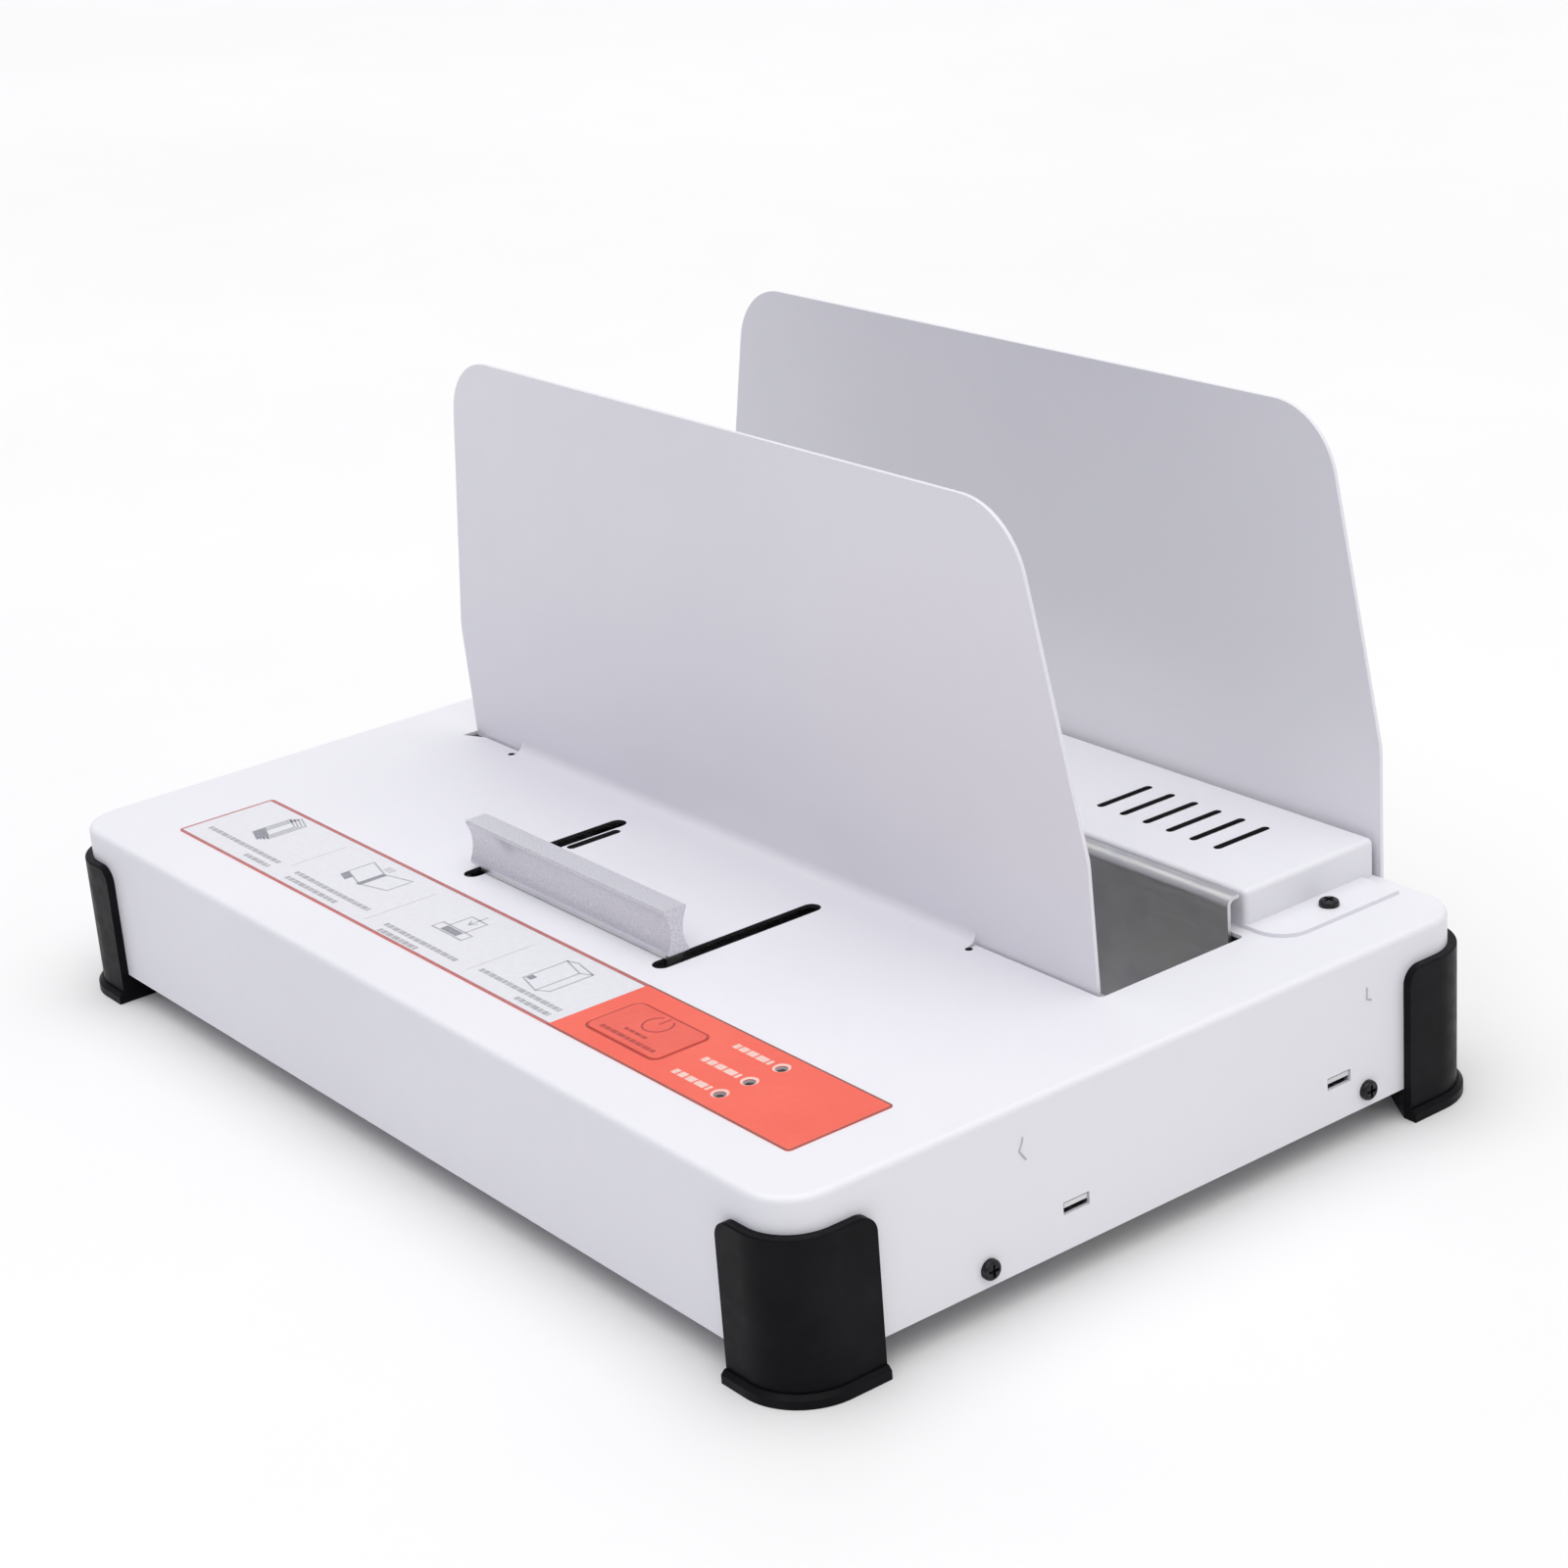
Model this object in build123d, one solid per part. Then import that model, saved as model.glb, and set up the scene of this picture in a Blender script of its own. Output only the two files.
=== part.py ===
from build123d import *
import math
import os

# Thermal binding machine: a low sheet-metal box with a heated well across it. A book stands in the
# well between two guide plates, and a handle on the top face slides the front jaw against its spine.
# Frame: X to the right, Y to the back, Z up, millimetres. The origin is on the table under the middle.

# General sizes
overrun = 5.0            # how far a cutting body runs past what it cuts
sheet = 1.2              # steel sheet of the casing
inner_sheet = 1.5        # steel sheet of the clamp parts
beside_gap = 0.3         # clearance between pieces that lie beside each other
thread_gap = 0.05        # clearance of a screw in its own thread
bore_gap = 0.05          # running clearance of a shaft in its bore
hole_gap = 0.3           # clearance of a screw in a plain hole

# Cover
body_top = 58.0          # height of the cover's top face
cover_edge = 9.5         # height of the cover's lower edge
plan_radius = 15.0
top_radius = 2.0

# Across the machine: half the width is the sum of these
plate_half_width = 157.0 # guide plates, wide enough for a 297 mm book
plate_end_gap = 2.0      # from a guide plate's side to the book opening's end
rod_offset = 7.0         # from the opening's end to the guide rod
side_room = 25.0         # from the guide rod to the cover's side

# From the front face to the rear face: the depth is the sum of these and the slide slots' length
label_margin = 20.5
label_depth = 35.5
label_gap = 8.2          # from the label to the slide slots
slot_to_bend = 9.4       # from the slide slots to the front plate's bend
bend_to_opening = 3.2
opening_depth = 56.0     # book opening
opening_to_housing = 4.1
housing_depth = 53.5
housing_to_rear = 1.5

opening_radius = 1.5     # corners of the book opening
opening_notch_width = 8.0  # notch at the opening's front left corner
opening_notch_depth = 4.0

# Front guide plate, one sheet with the cover
bend_radius = 3.8
bend_left_inset = 28.2   # from the plate's left side to the bend's left end
bend_right_inset = 50.8
relief_radius = 1.2
relief_slit = 0.8
front_lean = 2.6         # degrees towards the front
front_plate_height = 138.5
plate_skirt = 0.8        # how far the free lower edges reach below the top face

# Outline that both guide plates share
knee_height = 40.0
plate_taper = 20.5       # how much narrower each side is at the top
plate_corner_radius = 24.0
knee_radius = 20.0

# Rear guide plate
rear_plate_height = 138.8
rear_plate_gap = 2.2     # above the rocker switch's frame
rear_plate_screw_inset = 37.0

# Slide slots
slot_x = 50.0
slot_width = 6.2
slot_front_gap = 2.1     # beyond the bracket's blades, whose corners clear the slot's round ends
slot_rear_gap = 5.2      # beyond the blades when the jaw has stopped
short_slot_gap = 0.6     # strip between the left slot and the short slot
short_slot_width = 3.4
short_slot_length = 20.2
short_slot_inset = 5.9   # from the slide slots' rear end

# Control label
label_left_margin = 35.5
label_right_margin = 22.6
label_thickness = 0.25
label_radius = 1.5
light_inset = 38.6       # from the label's right end to the lights
light_shares = (0.208, 0.487, 0.794)  # of the label's depth
light_radius = 1.5
light_height = 7.8

# Power key
key_inset = 84.65        # from the label's right end
key_depth_share = 0.476  # of the label's depth
key_width = 33.0
key_depth = 19.2
key_radius = 2.5
key_rise = 0.3           # above the label
key_lip = 1.0
key_lip_thickness = 0.8
key_stem_radius = 1.6
key_travel = 0.6
key_switch_size = 12.0
key_switch_height = 4.0
key_switch_floor = 0.5

# Sides: cover screws, hook slots
side_screw_front_inset = 66.0
side_screw_rear_inset = 43.4
side_screw_rise = 5.4    # above the cover's lower edge
hook_front_inset = 97.3
hook_rear_inset = 54.8
hook_rise = 12.5
hook_slot_length = 9.4
hook_slot_width = 3.8
hook_reach = 0.8         # how far a hook tab stands in the cover's wall
hook_tab_gap = 0.5

# Screws
small_head_radius = 3.0
small_head_height = 1.9
small_shank_radius = 1.5
small_shank_length = 6.0
sunk_head_radius = 2.6
sunk_head_height = 1.2
recess_width = 0.9
head_round_share = 0.55
recess_length_share = 0.62
recess_depth_share = 0.6
nut_height = 2.2
nut_radius = 3.0

# Base pan
pan_flange_height = 20.0
pan_flange_margin = 8.0
pan_rear_flange_gap = 32.0  # from the rocker switch to the rear flange's left end
vent_length = 34.0
vent_width = 3.0
vent_pitch = 8.0
vent_count = 7
pan_vent_x = 95.0
pan_vent_inset = 74.5    # from the cover's front face to the vents' middle

# Corner feet
foot_front_wing = 25.0   # length of the wing on the front or rear face, from the cover's corner
foot_side_wing = 28.0
foot_wall = 2.75         # how far a wing stands proud of the cover
foot_lip = 4.6           # how far the lower lip stands proud
foot_lip_height = 3.8
foot_lip_slope = 1.2
foot_below_top = 10.3
foot_ear_radius = 5.5
foot_sole_depth = 12.0   # of the sole at the inner end of the wing on the front or rear face
foot_edge_round = 0.6
foot_screw_inset = 12.0
foot_head_depth = 3.0    # depth of the screw head above the table

# Rear housing
housing_end_inset = 1.0  # shorter than the guide plates at each end
housing_height = 12.0
housing_edge_radius = 1.8
flange_reach = 14.5
flange_rear_inset = 5.5
flange_corner_radius = 10.0
housing_screw_reach = 7.0
housing_screw_inset = 26.9
housing_vent_end = 29.0  # from the housing's end to the first vent
housing_vent_pitch = 10.0
housing_vent_count = 6
housing_vent_front_inset = 16.5
housing_vent_rear_inset = 14.5
housing_vent_width = 2.8
vent_opening_front_margin = 2.0
vent_opening_rear_margin = 5.5
vent_opening_end_margin = 9.0

# Rear jaw
rear_jaw_inset = 2.4     # in front of the opening's rear edge
rear_jaw_end_gap = 3.6   # from the jaw's end to the rod brackets
rear_jaw_bend = 3.0
rear_jaw_top_drop = 0.5  # below the rear housing's top
rear_jaw_lap = 4.6       # reach of the bent top edge behind the bend
rear_jaw_foot = 14.0
rear_jaw_screw_inset = 45.0
lead_notch_width = 22.0
lead_notch_height = 7.0

# Front jaw and its travel
jaw_inset = 2.8          # behind the opening's front edge
jaw_end_gap = 2.5        # from the jaw's end to the opening's end
ear_below_rod = 10.0
ear_above_rod = 12.0
jaw_flange = 6.0
jaw_top_gap = 0.5
jaw_bottom_gap = 0.5
thinnest_book = 4.6      # between the jaws at the end of the travel
jaw_front_travel = 4.1

# Clamp yoke
yoke_drop = 18.0         # below the cover's top face
yoke_slot_reach = 10.0   # beyond the slide slots
yoke_front_reach = 7.5   # in front of the handle's middle
yoke_flange_height = 12.0
yoke_screw_inset = 14.0
lug_length = 13.0
lug_top_gap = 2.3        # below the cover's sheet

# Handle and its bracket
handle_left_reach = 4.2  # beyond the left slot's middle
handle_right_reach = 0.7 # beyond the right slot's middle
handle_depth = 7.2
handle_waist = 4.4
handle_top_depth = 7.8
handle_height = 14.4
handle_foot = 1.0
handle_crown = 1.2
handle_edge = 0.4        # rounding of the crown's long edges
handle_slide_gap = 0.3
bracket_inset = 1.1      # from a slot's middle to the blade's outer face
bracket_depth = 6.6
bracket_yoke_gap = 1.5
bracket_screw_rise = 5.0
blade_length = 5.0
handle_screw_x = 34.0
handle_screw_length = 6.0

# Guide rods, slide blocks, rod brackets
rod_drop = 6.0           # below the yoke
rod_radius = 3.0
block_inner_reach = 15.0 # from the rod towards the middle
block_outer_reach = 8.0
block_length = 24.2
block_half_height = 8.0
block_screw_reach = 11.0
block_screw_offset = 4.5
rod_front_gap = 8.8      # from the slide block at its front limit to the bracket's middle
rod_rear_offset = 3.5    # from the rear jaw's face to the bracket's middle
rod_bracket_thickness = 2.0
rod_bracket_half_width = 7.4
rod_bracket_rise = 7.0
rod_bracket_foot = 12.0
rod_overhang = 3.0

# Heater
spacer_height = 3.7
heater_plate = 3.0
heater_end_gap = 5.0     # shorter than the rear jaw at each end
heater_front_inset = 2.1
heater_rear_gap = 0.5
pad_thickness = 1.4
pad_inset = 3.0
pad_gap = 6.0            # from the pad to the thermostat
clamp_thickness = 1.2
heater_screw_end_inset = 35.0
heater_screw_inset = 8.0
spacer_radius = 5.0
heater_screw_radius = 2.0
heater_head_radius = 3.6
heater_head_height = 2.0
thermostat_end_inset = 14.0
thermostat_rear_inset = 14.5
thermostat_radius = 8.0
thermostat_height = 4.6
shield_gap = 16.5        # from the shield to the heating plate
shield_end_gap = 3.0     # from the shield's end to the slide blocks
shield_drop = 4.0        # below the yoke
shield_foot = 12.0
shield_screw_inset = 38.0

# Control board
board_left_reach = 21.25 # beyond the power key's middle
board_right_reach = 22.2 # beyond the lights
board_front_reach = 3.0  # beyond the label
board_rear_reach = 3.5
board_thickness = 1.6
board_drop = 6.8         # from the cover's underside to the board's top
board_hole_inset = 4.0
standoff_radius = 2.9
chip_size = 10.0
chip_height = 1.5
buzzer_right_inset = 16.0
buzzer_front_inset = 13.0
buzzer_radius = 6.0
buzzer_height = 7.5

# Power board
power_rocker_gap = 30.0  # from the rocker switch to the board's left end
power_lead_room = 22.0   # from the board's right end to the thermostat
power_front_gap = 3.8    # behind the rear jaw's foot
power_rear_gap = 6.5
power_standoff = 5.0
power_hole_inset = 4.5
terminal_inset = 9.5
core_place_share = 0.29  # of the board's width, as the next two
relay_place_share = 0.57
can_place_share = 0.77
core_width = 38.0
core_depth = 30.0
core_height = 26.0
coil_bulge = 3.0
coil_share = 0.6
relay_width = 28.0
relay_depth = 13.0
relay_height = 16.0
can_radius = 8.0
can_height = 25.0
terminal_width = 12.0
terminal_depth = 26.0
terminal_height = 12.0
terminal_window = 3.4

# Mains inlet and rocker switch
inlet_margin = 63.0      # from the cover's left side
inlet_rise = 14.5        # above the cover's lower edge
inlet_width = 27.6
inlet_tall = 19.6
inlet_flange = 1.8
inlet_flange_thickness = 2.0
inlet_depth = 22.0
inlet_radius = 3.0
socket_width = 24.4
socket_tall = 16.8
socket_depth = 18.0
socket_radius = 2.0
pin_spread = 7.0
pin_rise = 2.0
pin_width = 2.0
pin_tall = 4.0
pin_set_back = 1.5
tab_length = 7.0
tab_thickness = 0.8
tab_width = 4.8
rocker_offset = 36.0     # from the inlet's middle
rocker_housing_width = 12.8
rocker_housing_tall = 20.0
rocker_housing_depth = 17.0
rocker_width = 9.6
rocker_side_gap = 0.4
rocker_pocket_half = 9.2
rocker_pivot_depth = 2.5 # behind the rear face
rocker_pivot_radius = 1.0
rocker_pivot_reach = 0.7
rocker_half_height = 7.6
rocker_end_rise = 4.6
rocker_middle_rise = 3.2
rocker_heel = 8.7
rocker_heel_depth = 1.5
rocker_inner_half = 6.0
rocker_inner_depth = 3.0
rocker_pocket_depth = 5.5
rocker_tilt = 8.0        # degrees, from the middle to either side

# Wiring
lead_radius = 1.2
control_cable_radius = 2.0
earth_side_margin = 41.0
earth_rear_margin = 26.5
earth_radius = 2.0
earth_height = 12.0
earth_tag = 0.8

# Travel of the clamp and length of its slots
jaw_back_travel = opening_depth - jaw_inset - rear_jaw_inset - inner_sheet - thinnest_book
slot_length = slot_front_gap + jaw_front_travel + blade_length + jaw_back_travel + slot_rear_gap

# Overall size, and places from front to back
front_depth = label_margin + label_depth + label_gap + slot_length + slot_to_bend + bend_to_opening
rear_depth = opening_to_housing + housing_depth + housing_to_rear
body_depth = front_depth + opening_depth + rear_depth
half_depth = body_depth / 2
label_front = label_margin - half_depth
label_rear = label_front + label_depth
slot_front = label_rear + label_gap
slot_rear = slot_front + slot_length
handle_y = slot_front + slot_front_gap + jaw_front_travel + blade_length / 2
bend_start = slot_rear + slot_to_bend
opening_front = bend_start + bend_to_opening
opening_rear = opening_front + opening_depth
jaw_y = opening_front + jaw_inset
jaw_back = jaw_y + inner_sheet
rear_jaw_y = opening_rear - rear_jaw_inset
housing_front = opening_rear + opening_to_housing
housing_rear = housing_front + housing_depth
flange_rear = housing_rear - flange_rear_inset
housing_screw_y = housing_rear - housing_screw_inset
housing_vent_front = housing_front + housing_vent_front_inset
housing_vent_rear = housing_rear - housing_vent_rear_inset
light_ys = [label_front + share * label_depth for share in light_shares]
key_y = label_front + key_depth_share * label_depth
side_screw_ys = (side_screw_front_inset - half_depth, half_depth - side_screw_rear_inset)
hook_ys = (hook_front_inset - half_depth, half_depth - hook_rear_inset)
block_front = jaw_y - block_length
rod_front_y = block_front - jaw_front_travel - rod_front_gap
rod_rear_y = rear_jaw_y + rod_rear_offset
heater_front = opening_front + heater_front_inset
heater_rear = rear_jaw_y - heater_rear_gap
thermostat_y = heater_rear - thermostat_rear_inset
shield_y = heater_front - shield_gap
board_front = label_front - board_front_reach
board_rear = label_rear + board_rear_reach
power_front = rear_jaw_y + sheet + rear_jaw_foot + power_front_gap
power_rear = half_depth - power_rear_gap
board_part_y = (power_front + power_rear) / 2
socket_y = half_depth + inlet_flange_thickness - socket_depth
earth_y = half_depth - earth_rear_margin

# Places across the machine
opening_half_width = plate_half_width + plate_end_gap
rod_x = opening_half_width + rod_offset
half_width = rod_x + side_room
body_width = 2 * half_width
plate_top_half_width = plate_half_width - plate_taper
bend_left = bend_left_inset - plate_half_width
bend_right = plate_half_width - bend_right_inset
rear_plate_screw_x = plate_half_width - rear_plate_screw_inset
short_slot_x = short_slot_gap + (slot_width + short_slot_width) / 2 - slot_x
handle_left = -slot_x - handle_left_reach
handle_right = slot_x + handle_right_reach
bracket_half_width = slot_x - bracket_inset
yoke_half_width = slot_x + yoke_slot_reach
yoke_screw_x = yoke_half_width - yoke_screw_inset
label_left = label_left_margin - half_width
label_right = half_width - label_right_margin
light_x = label_right - light_inset
key_x = label_right - key_inset
board_left = key_x - board_left_reach
board_right = light_x + board_right_reach
housing_half_width = plate_half_width - housing_end_inset
housing_screw_x = housing_half_width + housing_screw_reach
housing_vent_x = housing_half_width - housing_vent_end
vent_opening_half_width = housing_vent_x + vent_opening_end_margin
block_inner_x = rod_x - block_inner_reach
block_outer_x = rod_x + block_outer_reach
block_screw_x = rod_x - block_screw_reach
rod_bracket_inner_x = rod_x - rod_bracket_half_width
rod_bracket_outer_x = rod_x + rod_bracket_half_width
jaw_half_width = opening_half_width - jaw_end_gap
rear_jaw_half_width = rod_bracket_inner_x - rear_jaw_end_gap
rear_jaw_screw_x = rear_jaw_half_width - rear_jaw_screw_inset
heater_half_width = rear_jaw_half_width - heater_end_gap
heater_screw_x = heater_half_width - heater_screw_end_inset
thermostat_x = heater_half_width - thermostat_end_inset
pad_right = thermostat_x - thermostat_radius - pad_gap
shield_half_width = block_inner_x - shield_end_gap
shield_screw_x = shield_half_width - shield_screw_inset
inlet_x = inlet_margin - half_width
rocker_x = inlet_x + rocker_offset
power_left = rocker_x + power_rocker_gap
power_right = thermostat_x - power_lead_room
power_width = power_right - power_left
terminal_x = power_left + terminal_inset
core_x = power_left + core_place_share * power_width
relay_x = power_left + relay_place_share * power_width
can_x = power_left + can_place_share * power_width
earth_x = earth_side_margin - half_width
pan_half_width = half_width - sheet - beside_gap
pan_half_depth = half_depth - sheet - beside_gap

# Heights
ceiling = body_top - sheet
pan_top = cover_edge + sheet
label_top = body_top + label_thickness
clamp_bottom = pan_top + spacer_height
pad_bottom = clamp_bottom + clamp_thickness
heater_bottom = pad_bottom + pad_thickness
heater_top = heater_bottom + heater_plate
jaw_bottom = heater_top + jaw_bottom_gap
jaw_top = ceiling - jaw_top_gap
yoke_height = body_top - yoke_drop
lug_top = ceiling - lug_top_gap
bracket_bottom = yoke_height + inner_sheet + bracket_yoke_gap
bracket_screw_height = bracket_bottom + bracket_screw_rise
rod_height = yoke_height - rod_drop
board_top = ceiling - board_drop
board_bottom = board_top - board_thickness
power_bottom = pan_top + power_standoff
power_top = power_bottom + board_thickness
handle_base = body_top + handle_slide_gap + inner_sheet
housing_top = body_top + housing_height
side_screw_height = cover_edge + side_screw_rise
hook_height = cover_edge + hook_rise
inlet_height = cover_edge + inlet_rise
rear_plate_low = inlet_height + rocker_housing_tall / 2 + inlet_flange + rear_plate_gap
rear_plate_screw_height = (body_top + rear_plate_low) / 2


def block(x0, x1, y0, y1, z0, z1):
    """A box between two corners."""
    middle = ((x0 + x1) / 2, (y0 + y1) / 2, (z0 + z1) / 2)
    return Pos(*middle) * Box(x1 - x0, y1 - y0, z1 - z0)


def rod_z(x, y, z0, z1, radius):
    return Pos(x, y, (z0 + z1) / 2) * Cylinder(radius, z1 - z0)


def rod_x_way(x0, x1, y, z, radius):
    return Pos((x0 + x1) / 2, y, z) * Rot(0, 90, 0) * Cylinder(radius, x1 - x0)


def rod_y_way(x, y0, y1, z, radius):
    return Pos(x, (y0 + y1) / 2, z) * Rot(90, 0, 0) * Cylinder(radius, y1 - y0)


def rounded_block(width, depth, radius, z0, z1, x=0, y=0):
    """An upright block whose plan has round corners."""
    return Pos(x, y, z0) * extrude(RectangleRounded(width, depth, radius), z1 - z0)


def slot_cut(x, y0, y1, width, z0, z1):
    """A cutter for a slot with round ends that runs along Y."""
    return Pos(x, (y0 + y1) / 2, z0) * extrude(SlotOverall(y1 - y0, width, rotation=90), z1 - z0)


def mirrored(part):
    return mirror(part, about=Plane.YZ)


def group(parts):
    """Separate solids that share one node."""
    solids = []
    for part in parts:
        solids.extend(part.solids())
    return Compound(solids)


def screw(point, direction, shank_length=small_shank_length, head_radius=small_head_radius,
          head_height=small_head_height, shank_radius=small_shank_radius, recess=True):
    """A pan-head screw: the point is under its head, the direction leads out of the head."""
    head = Pos(0, 0, head_height / 2) * Cylinder(head_radius, head_height)
    head = fillet(head.edges().group_by(Axis.Z)[-1], head_height * head_round_share)
    if recess:
        arm = head_radius * 2 * recess_length_share
        depth = head_height * recess_depth_share
        low = head_height - depth
        head -= block(-arm / 2, arm / 2, -recess_width / 2, recess_width / 2, low, head_height)
        head -= block(-recess_width / 2, recess_width / 2, -arm / 2, arm / 2, low, head_height)
    shank = Pos(0, 0, -shank_length / 2) * Cylinder(shank_radius, shank_length)
    return Plane(origin=point, z_dir=direction) * (head + shank)


def sunk_screw(point, direction, shank_length, head_radius=sunk_head_radius,
               head_height=sunk_head_height, shank_radius=small_shank_radius):
    """A flat-head screw: the point is on top of its head, flush with the face that it sits in."""
    cone = Pos(0, 0, -head_height / 2) * Cone(shank_radius, head_radius, head_height)
    shank = Pos(0, 0, -(head_height + shank_length) / 2) * Cylinder(shank_radius, head_height + shank_length)
    return Plane(origin=point, z_dir=direction) * (cone + shank)


def sunk_seat(point, direction, head_radius=sunk_head_radius, head_height=sunk_head_height,
              shank_radius=small_shank_radius, depth=inner_sheet):
    """The cutter for a flat-head screw's seat, a little larger than the screw."""
    small = shank_radius + thread_gap
    cone = Pos(0, 0, -head_height / 2) * Cone(small, head_radius + thread_gap, head_height)
    hole = Pos(0, 0, -depth / 2) * Cylinder(small, depth + overrun)
    return Plane(origin=point, z_dir=direction) * (cone + hole)


def tube(points, bend, radius):
    """A wire along straight runs joined by round bends."""
    path = FilletPolyline(*points, radius=bend)
    start = Plane(origin=path @ 0, z_dir=path % 0)
    return sweep(start * Circle(radius), path=path)


# Cover with the front guide plate

def case(width, depth, radius, edge, z0, z1):
    """A block with round corners in plan and a round top edge."""
    solid = rounded_block(width, depth, radius, z0, z1)
    return fillet(solid.faces().sort_by(Axis.Z)[-1].edges(), edge)


def plate_outline(low, height):
    """The guide plates' outline, drawn upwards from the cover's top face."""
    points = [
        (-plate_half_width, low),
        (plate_half_width, low),
        (plate_half_width, knee_height),
        (plate_top_half_width, height),
        (-plate_top_half_width, height),
        (-plate_half_width, knee_height),
    ]
    outline = make_face(Polyline(*points, close=True))
    outline = fillet(outline.vertices().group_by(Axis.Y)[-1], plate_corner_radius)
    return fillet(outline.vertices().group_by(Axis.Y)[1], knee_radius)


def front_plate():
    """The bend strip and the plate that stands on it, leaning forwards."""
    centre = (bend_start, body_top + bend_radius)
    turn = 90 + front_lean
    outer = bend_radius + sheet
    inside = CenterArc(centre, bend_radius, -90, turn)
    outside = CenterArc(centre, outer, -90, turn)
    ends = [Line(inside @ 0, outside @ 0), Line(inside @ 1, outside @ 1)]
    section = make_face([inside, outside] + ends)
    strip = Pos(bend_left, 0, 0) * extrude(Plane.YZ * section, bend_right - bend_left)
    lean = math.radians(front_lean)
    foot_y = centre[0] + bend_radius * math.cos(lean)
    foot_z = centre[1] + bend_radius * math.sin(lean)
    drop = foot_z - body_top
    face = Plane(origin=(0, foot_y, foot_z), x_dir=(1, 0, 0), z_dir=(0, -math.cos(lean), -math.sin(lean)))
    outline = Pos(0, -drop) * plate_outline(-plate_skirt, front_plate_height)
    middle = (bend_left + bend_right) / 2
    notch = Rectangle(bend_right - bend_left, 2 * (drop + plate_skirt))
    sketch = outline - Pos(middle, 0) * notch
    base = Rectangle(bend_right - bend_left, sheet, align=(Align.CENTER, Align.MIN))
    sketch += Pos(middle, 0) * base
    upper = Rectangle(bend_right - bend_left, 2 * (drop + plate_skirt), align=(Align.CENTER, Align.MIN))
    sketch += Pos(middle, 0) * upper
    return strip + extrude(face * sketch, -sheet)


def side_cuts():
    """Screw holes and hook slots through the cover's right wall."""
    low = half_width - sheet - overrun
    high = half_width + overrun
    cuts = []
    for y in side_screw_ys:
        cuts.append(rod_x_way(low, high, y, side_screw_height, small_shank_radius + hole_gap))
    for y in hook_ys:
        half_length = hook_slot_length / 2
        half_slot = hook_slot_width / 2
        cuts.append(block(low, high, y - half_length, y + half_length,
                          hook_height - half_slot, hook_height + half_slot))
    return cuts


def opening_notch(low, high):
    """A cutter for the three-cornered notch in front of the guide plate's left end."""
    corner_x = -opening_half_width
    corners = [
        (corner_x, opening_front + sheet),
        (corner_x, opening_front - opening_notch_depth),
        (corner_x + opening_notch_width, opening_front),
        (corner_x + opening_notch_width, opening_front + sheet),
    ]
    return Pos(0, 0, low) * extrude(make_face(Polyline(*corners, close=True)), high - low)


def top_cover():
    cover = case(body_width, body_depth, plan_radius, top_radius, cover_edge, body_top)
    cover -= case(body_width - 2 * sheet, body_depth - 2 * sheet, plan_radius - sheet,
                  top_radius - sheet, cover_edge - overrun, ceiling)
    low = ceiling - overrun
    high = body_top + overrun
    cover -= rounded_block(2 * opening_half_width, opening_rear - opening_front, opening_radius,
                           low, high, y=(opening_front + opening_rear) / 2)
    cover -= opening_notch(low, high)
    cover -= block(bend_left, bend_right, bend_start, opening_front + sheet, low, high)
    for x, way in ((bend_left, -1), (bend_right, 1)):
        cover -= rod_z(x + way * relief_radius, bend_start, low, high, relief_radius)
        edges = sorted((x, x + way * relief_slit))
        cover -= block(edges[0], edges[1], bend_start, opening_front + sheet, low, high)
    cover -= block(-vent_opening_half_width, vent_opening_half_width,
                   housing_vent_front - vent_opening_front_margin,
                   housing_vent_rear + vent_opening_rear_margin, low, high)
    for x in (-slot_x, slot_x):
        cover -= slot_cut(x, slot_front, slot_rear, slot_width, low, high)
    short_rear = slot_rear - short_slot_inset
    cover -= slot_cut(short_slot_x, short_rear - short_slot_length, short_rear, short_slot_width, low, high)
    cover -= label_cuts(low, high)
    for cut in side_cuts():
        cover -= cut
        cover -= mirrored(cut)
    for x in (-housing_screw_x, housing_screw_x):
        cover -= rod_z(x, housing_screw_y, low, high, small_shank_radius + thread_gap)
    inner = half_depth - sheet - overrun
    outer = half_depth + overrun
    cover -= panel_cut(inlet_x, inlet_width, inlet_tall, inner, outer)
    cover -= panel_cut(rocker_x, rocker_housing_width, rocker_housing_tall, inner, outer)
    for x in rear_plate_screws():
        cover -= rod_y_way(x, inner, outer, rear_plate_screw_height, small_shank_radius + thread_gap)
    return cover + front_plate()


def panel_cut(x, width, tall, y0, y1):
    """A cutter for a snap-in fitting in the rear face."""
    half = width / 2 + beside_gap
    rise = tall / 2 + beside_gap
    return block(x - half, x + half, y0, y1, inlet_height - rise, inlet_height + rise)


def rear_plate_screws():
    inner = rear_plate_screw_x / 3
    return (-rear_plate_screw_x, -inner, inner, rear_plate_screw_x)


def label_cuts(low, high):
    """The key window and the light holes, the same in the cover and in the label."""
    window = rounded_block(key_width + 2 * beside_gap, key_depth + 2 * beside_gap, key_radius + beside_gap,
                           low, high, x=key_x, y=key_y)
    lights = [rod_z(light_x, y, low, high, light_radius + beside_gap) for y in light_ys]
    return [window] + lights


# Base pan and feet

def foot_screw_places():
    x = half_width - foot_screw_inset
    y = half_depth - foot_screw_inset
    return [(-x, -y), (x, -y), (-x, y), (x, y)]


def pan_screw_places():
    """Screws that hold inner brackets down: x, y."""
    places = []
    for x in (-shield_screw_x, shield_screw_x):
        places.append((x, shield_y - shield_foot / 2))
    for x in (-rear_jaw_screw_x, rear_jaw_screw_x):
        places.append((x, rear_jaw_y + sheet + rear_jaw_foot / 2))
    for x in (-rod_x, rod_x):
        places.append((x, rod_front_y - rod_bracket_foot / 2))
        places.append((x, rod_rear_y + rod_bracket_foot / 2))
    return places


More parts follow.
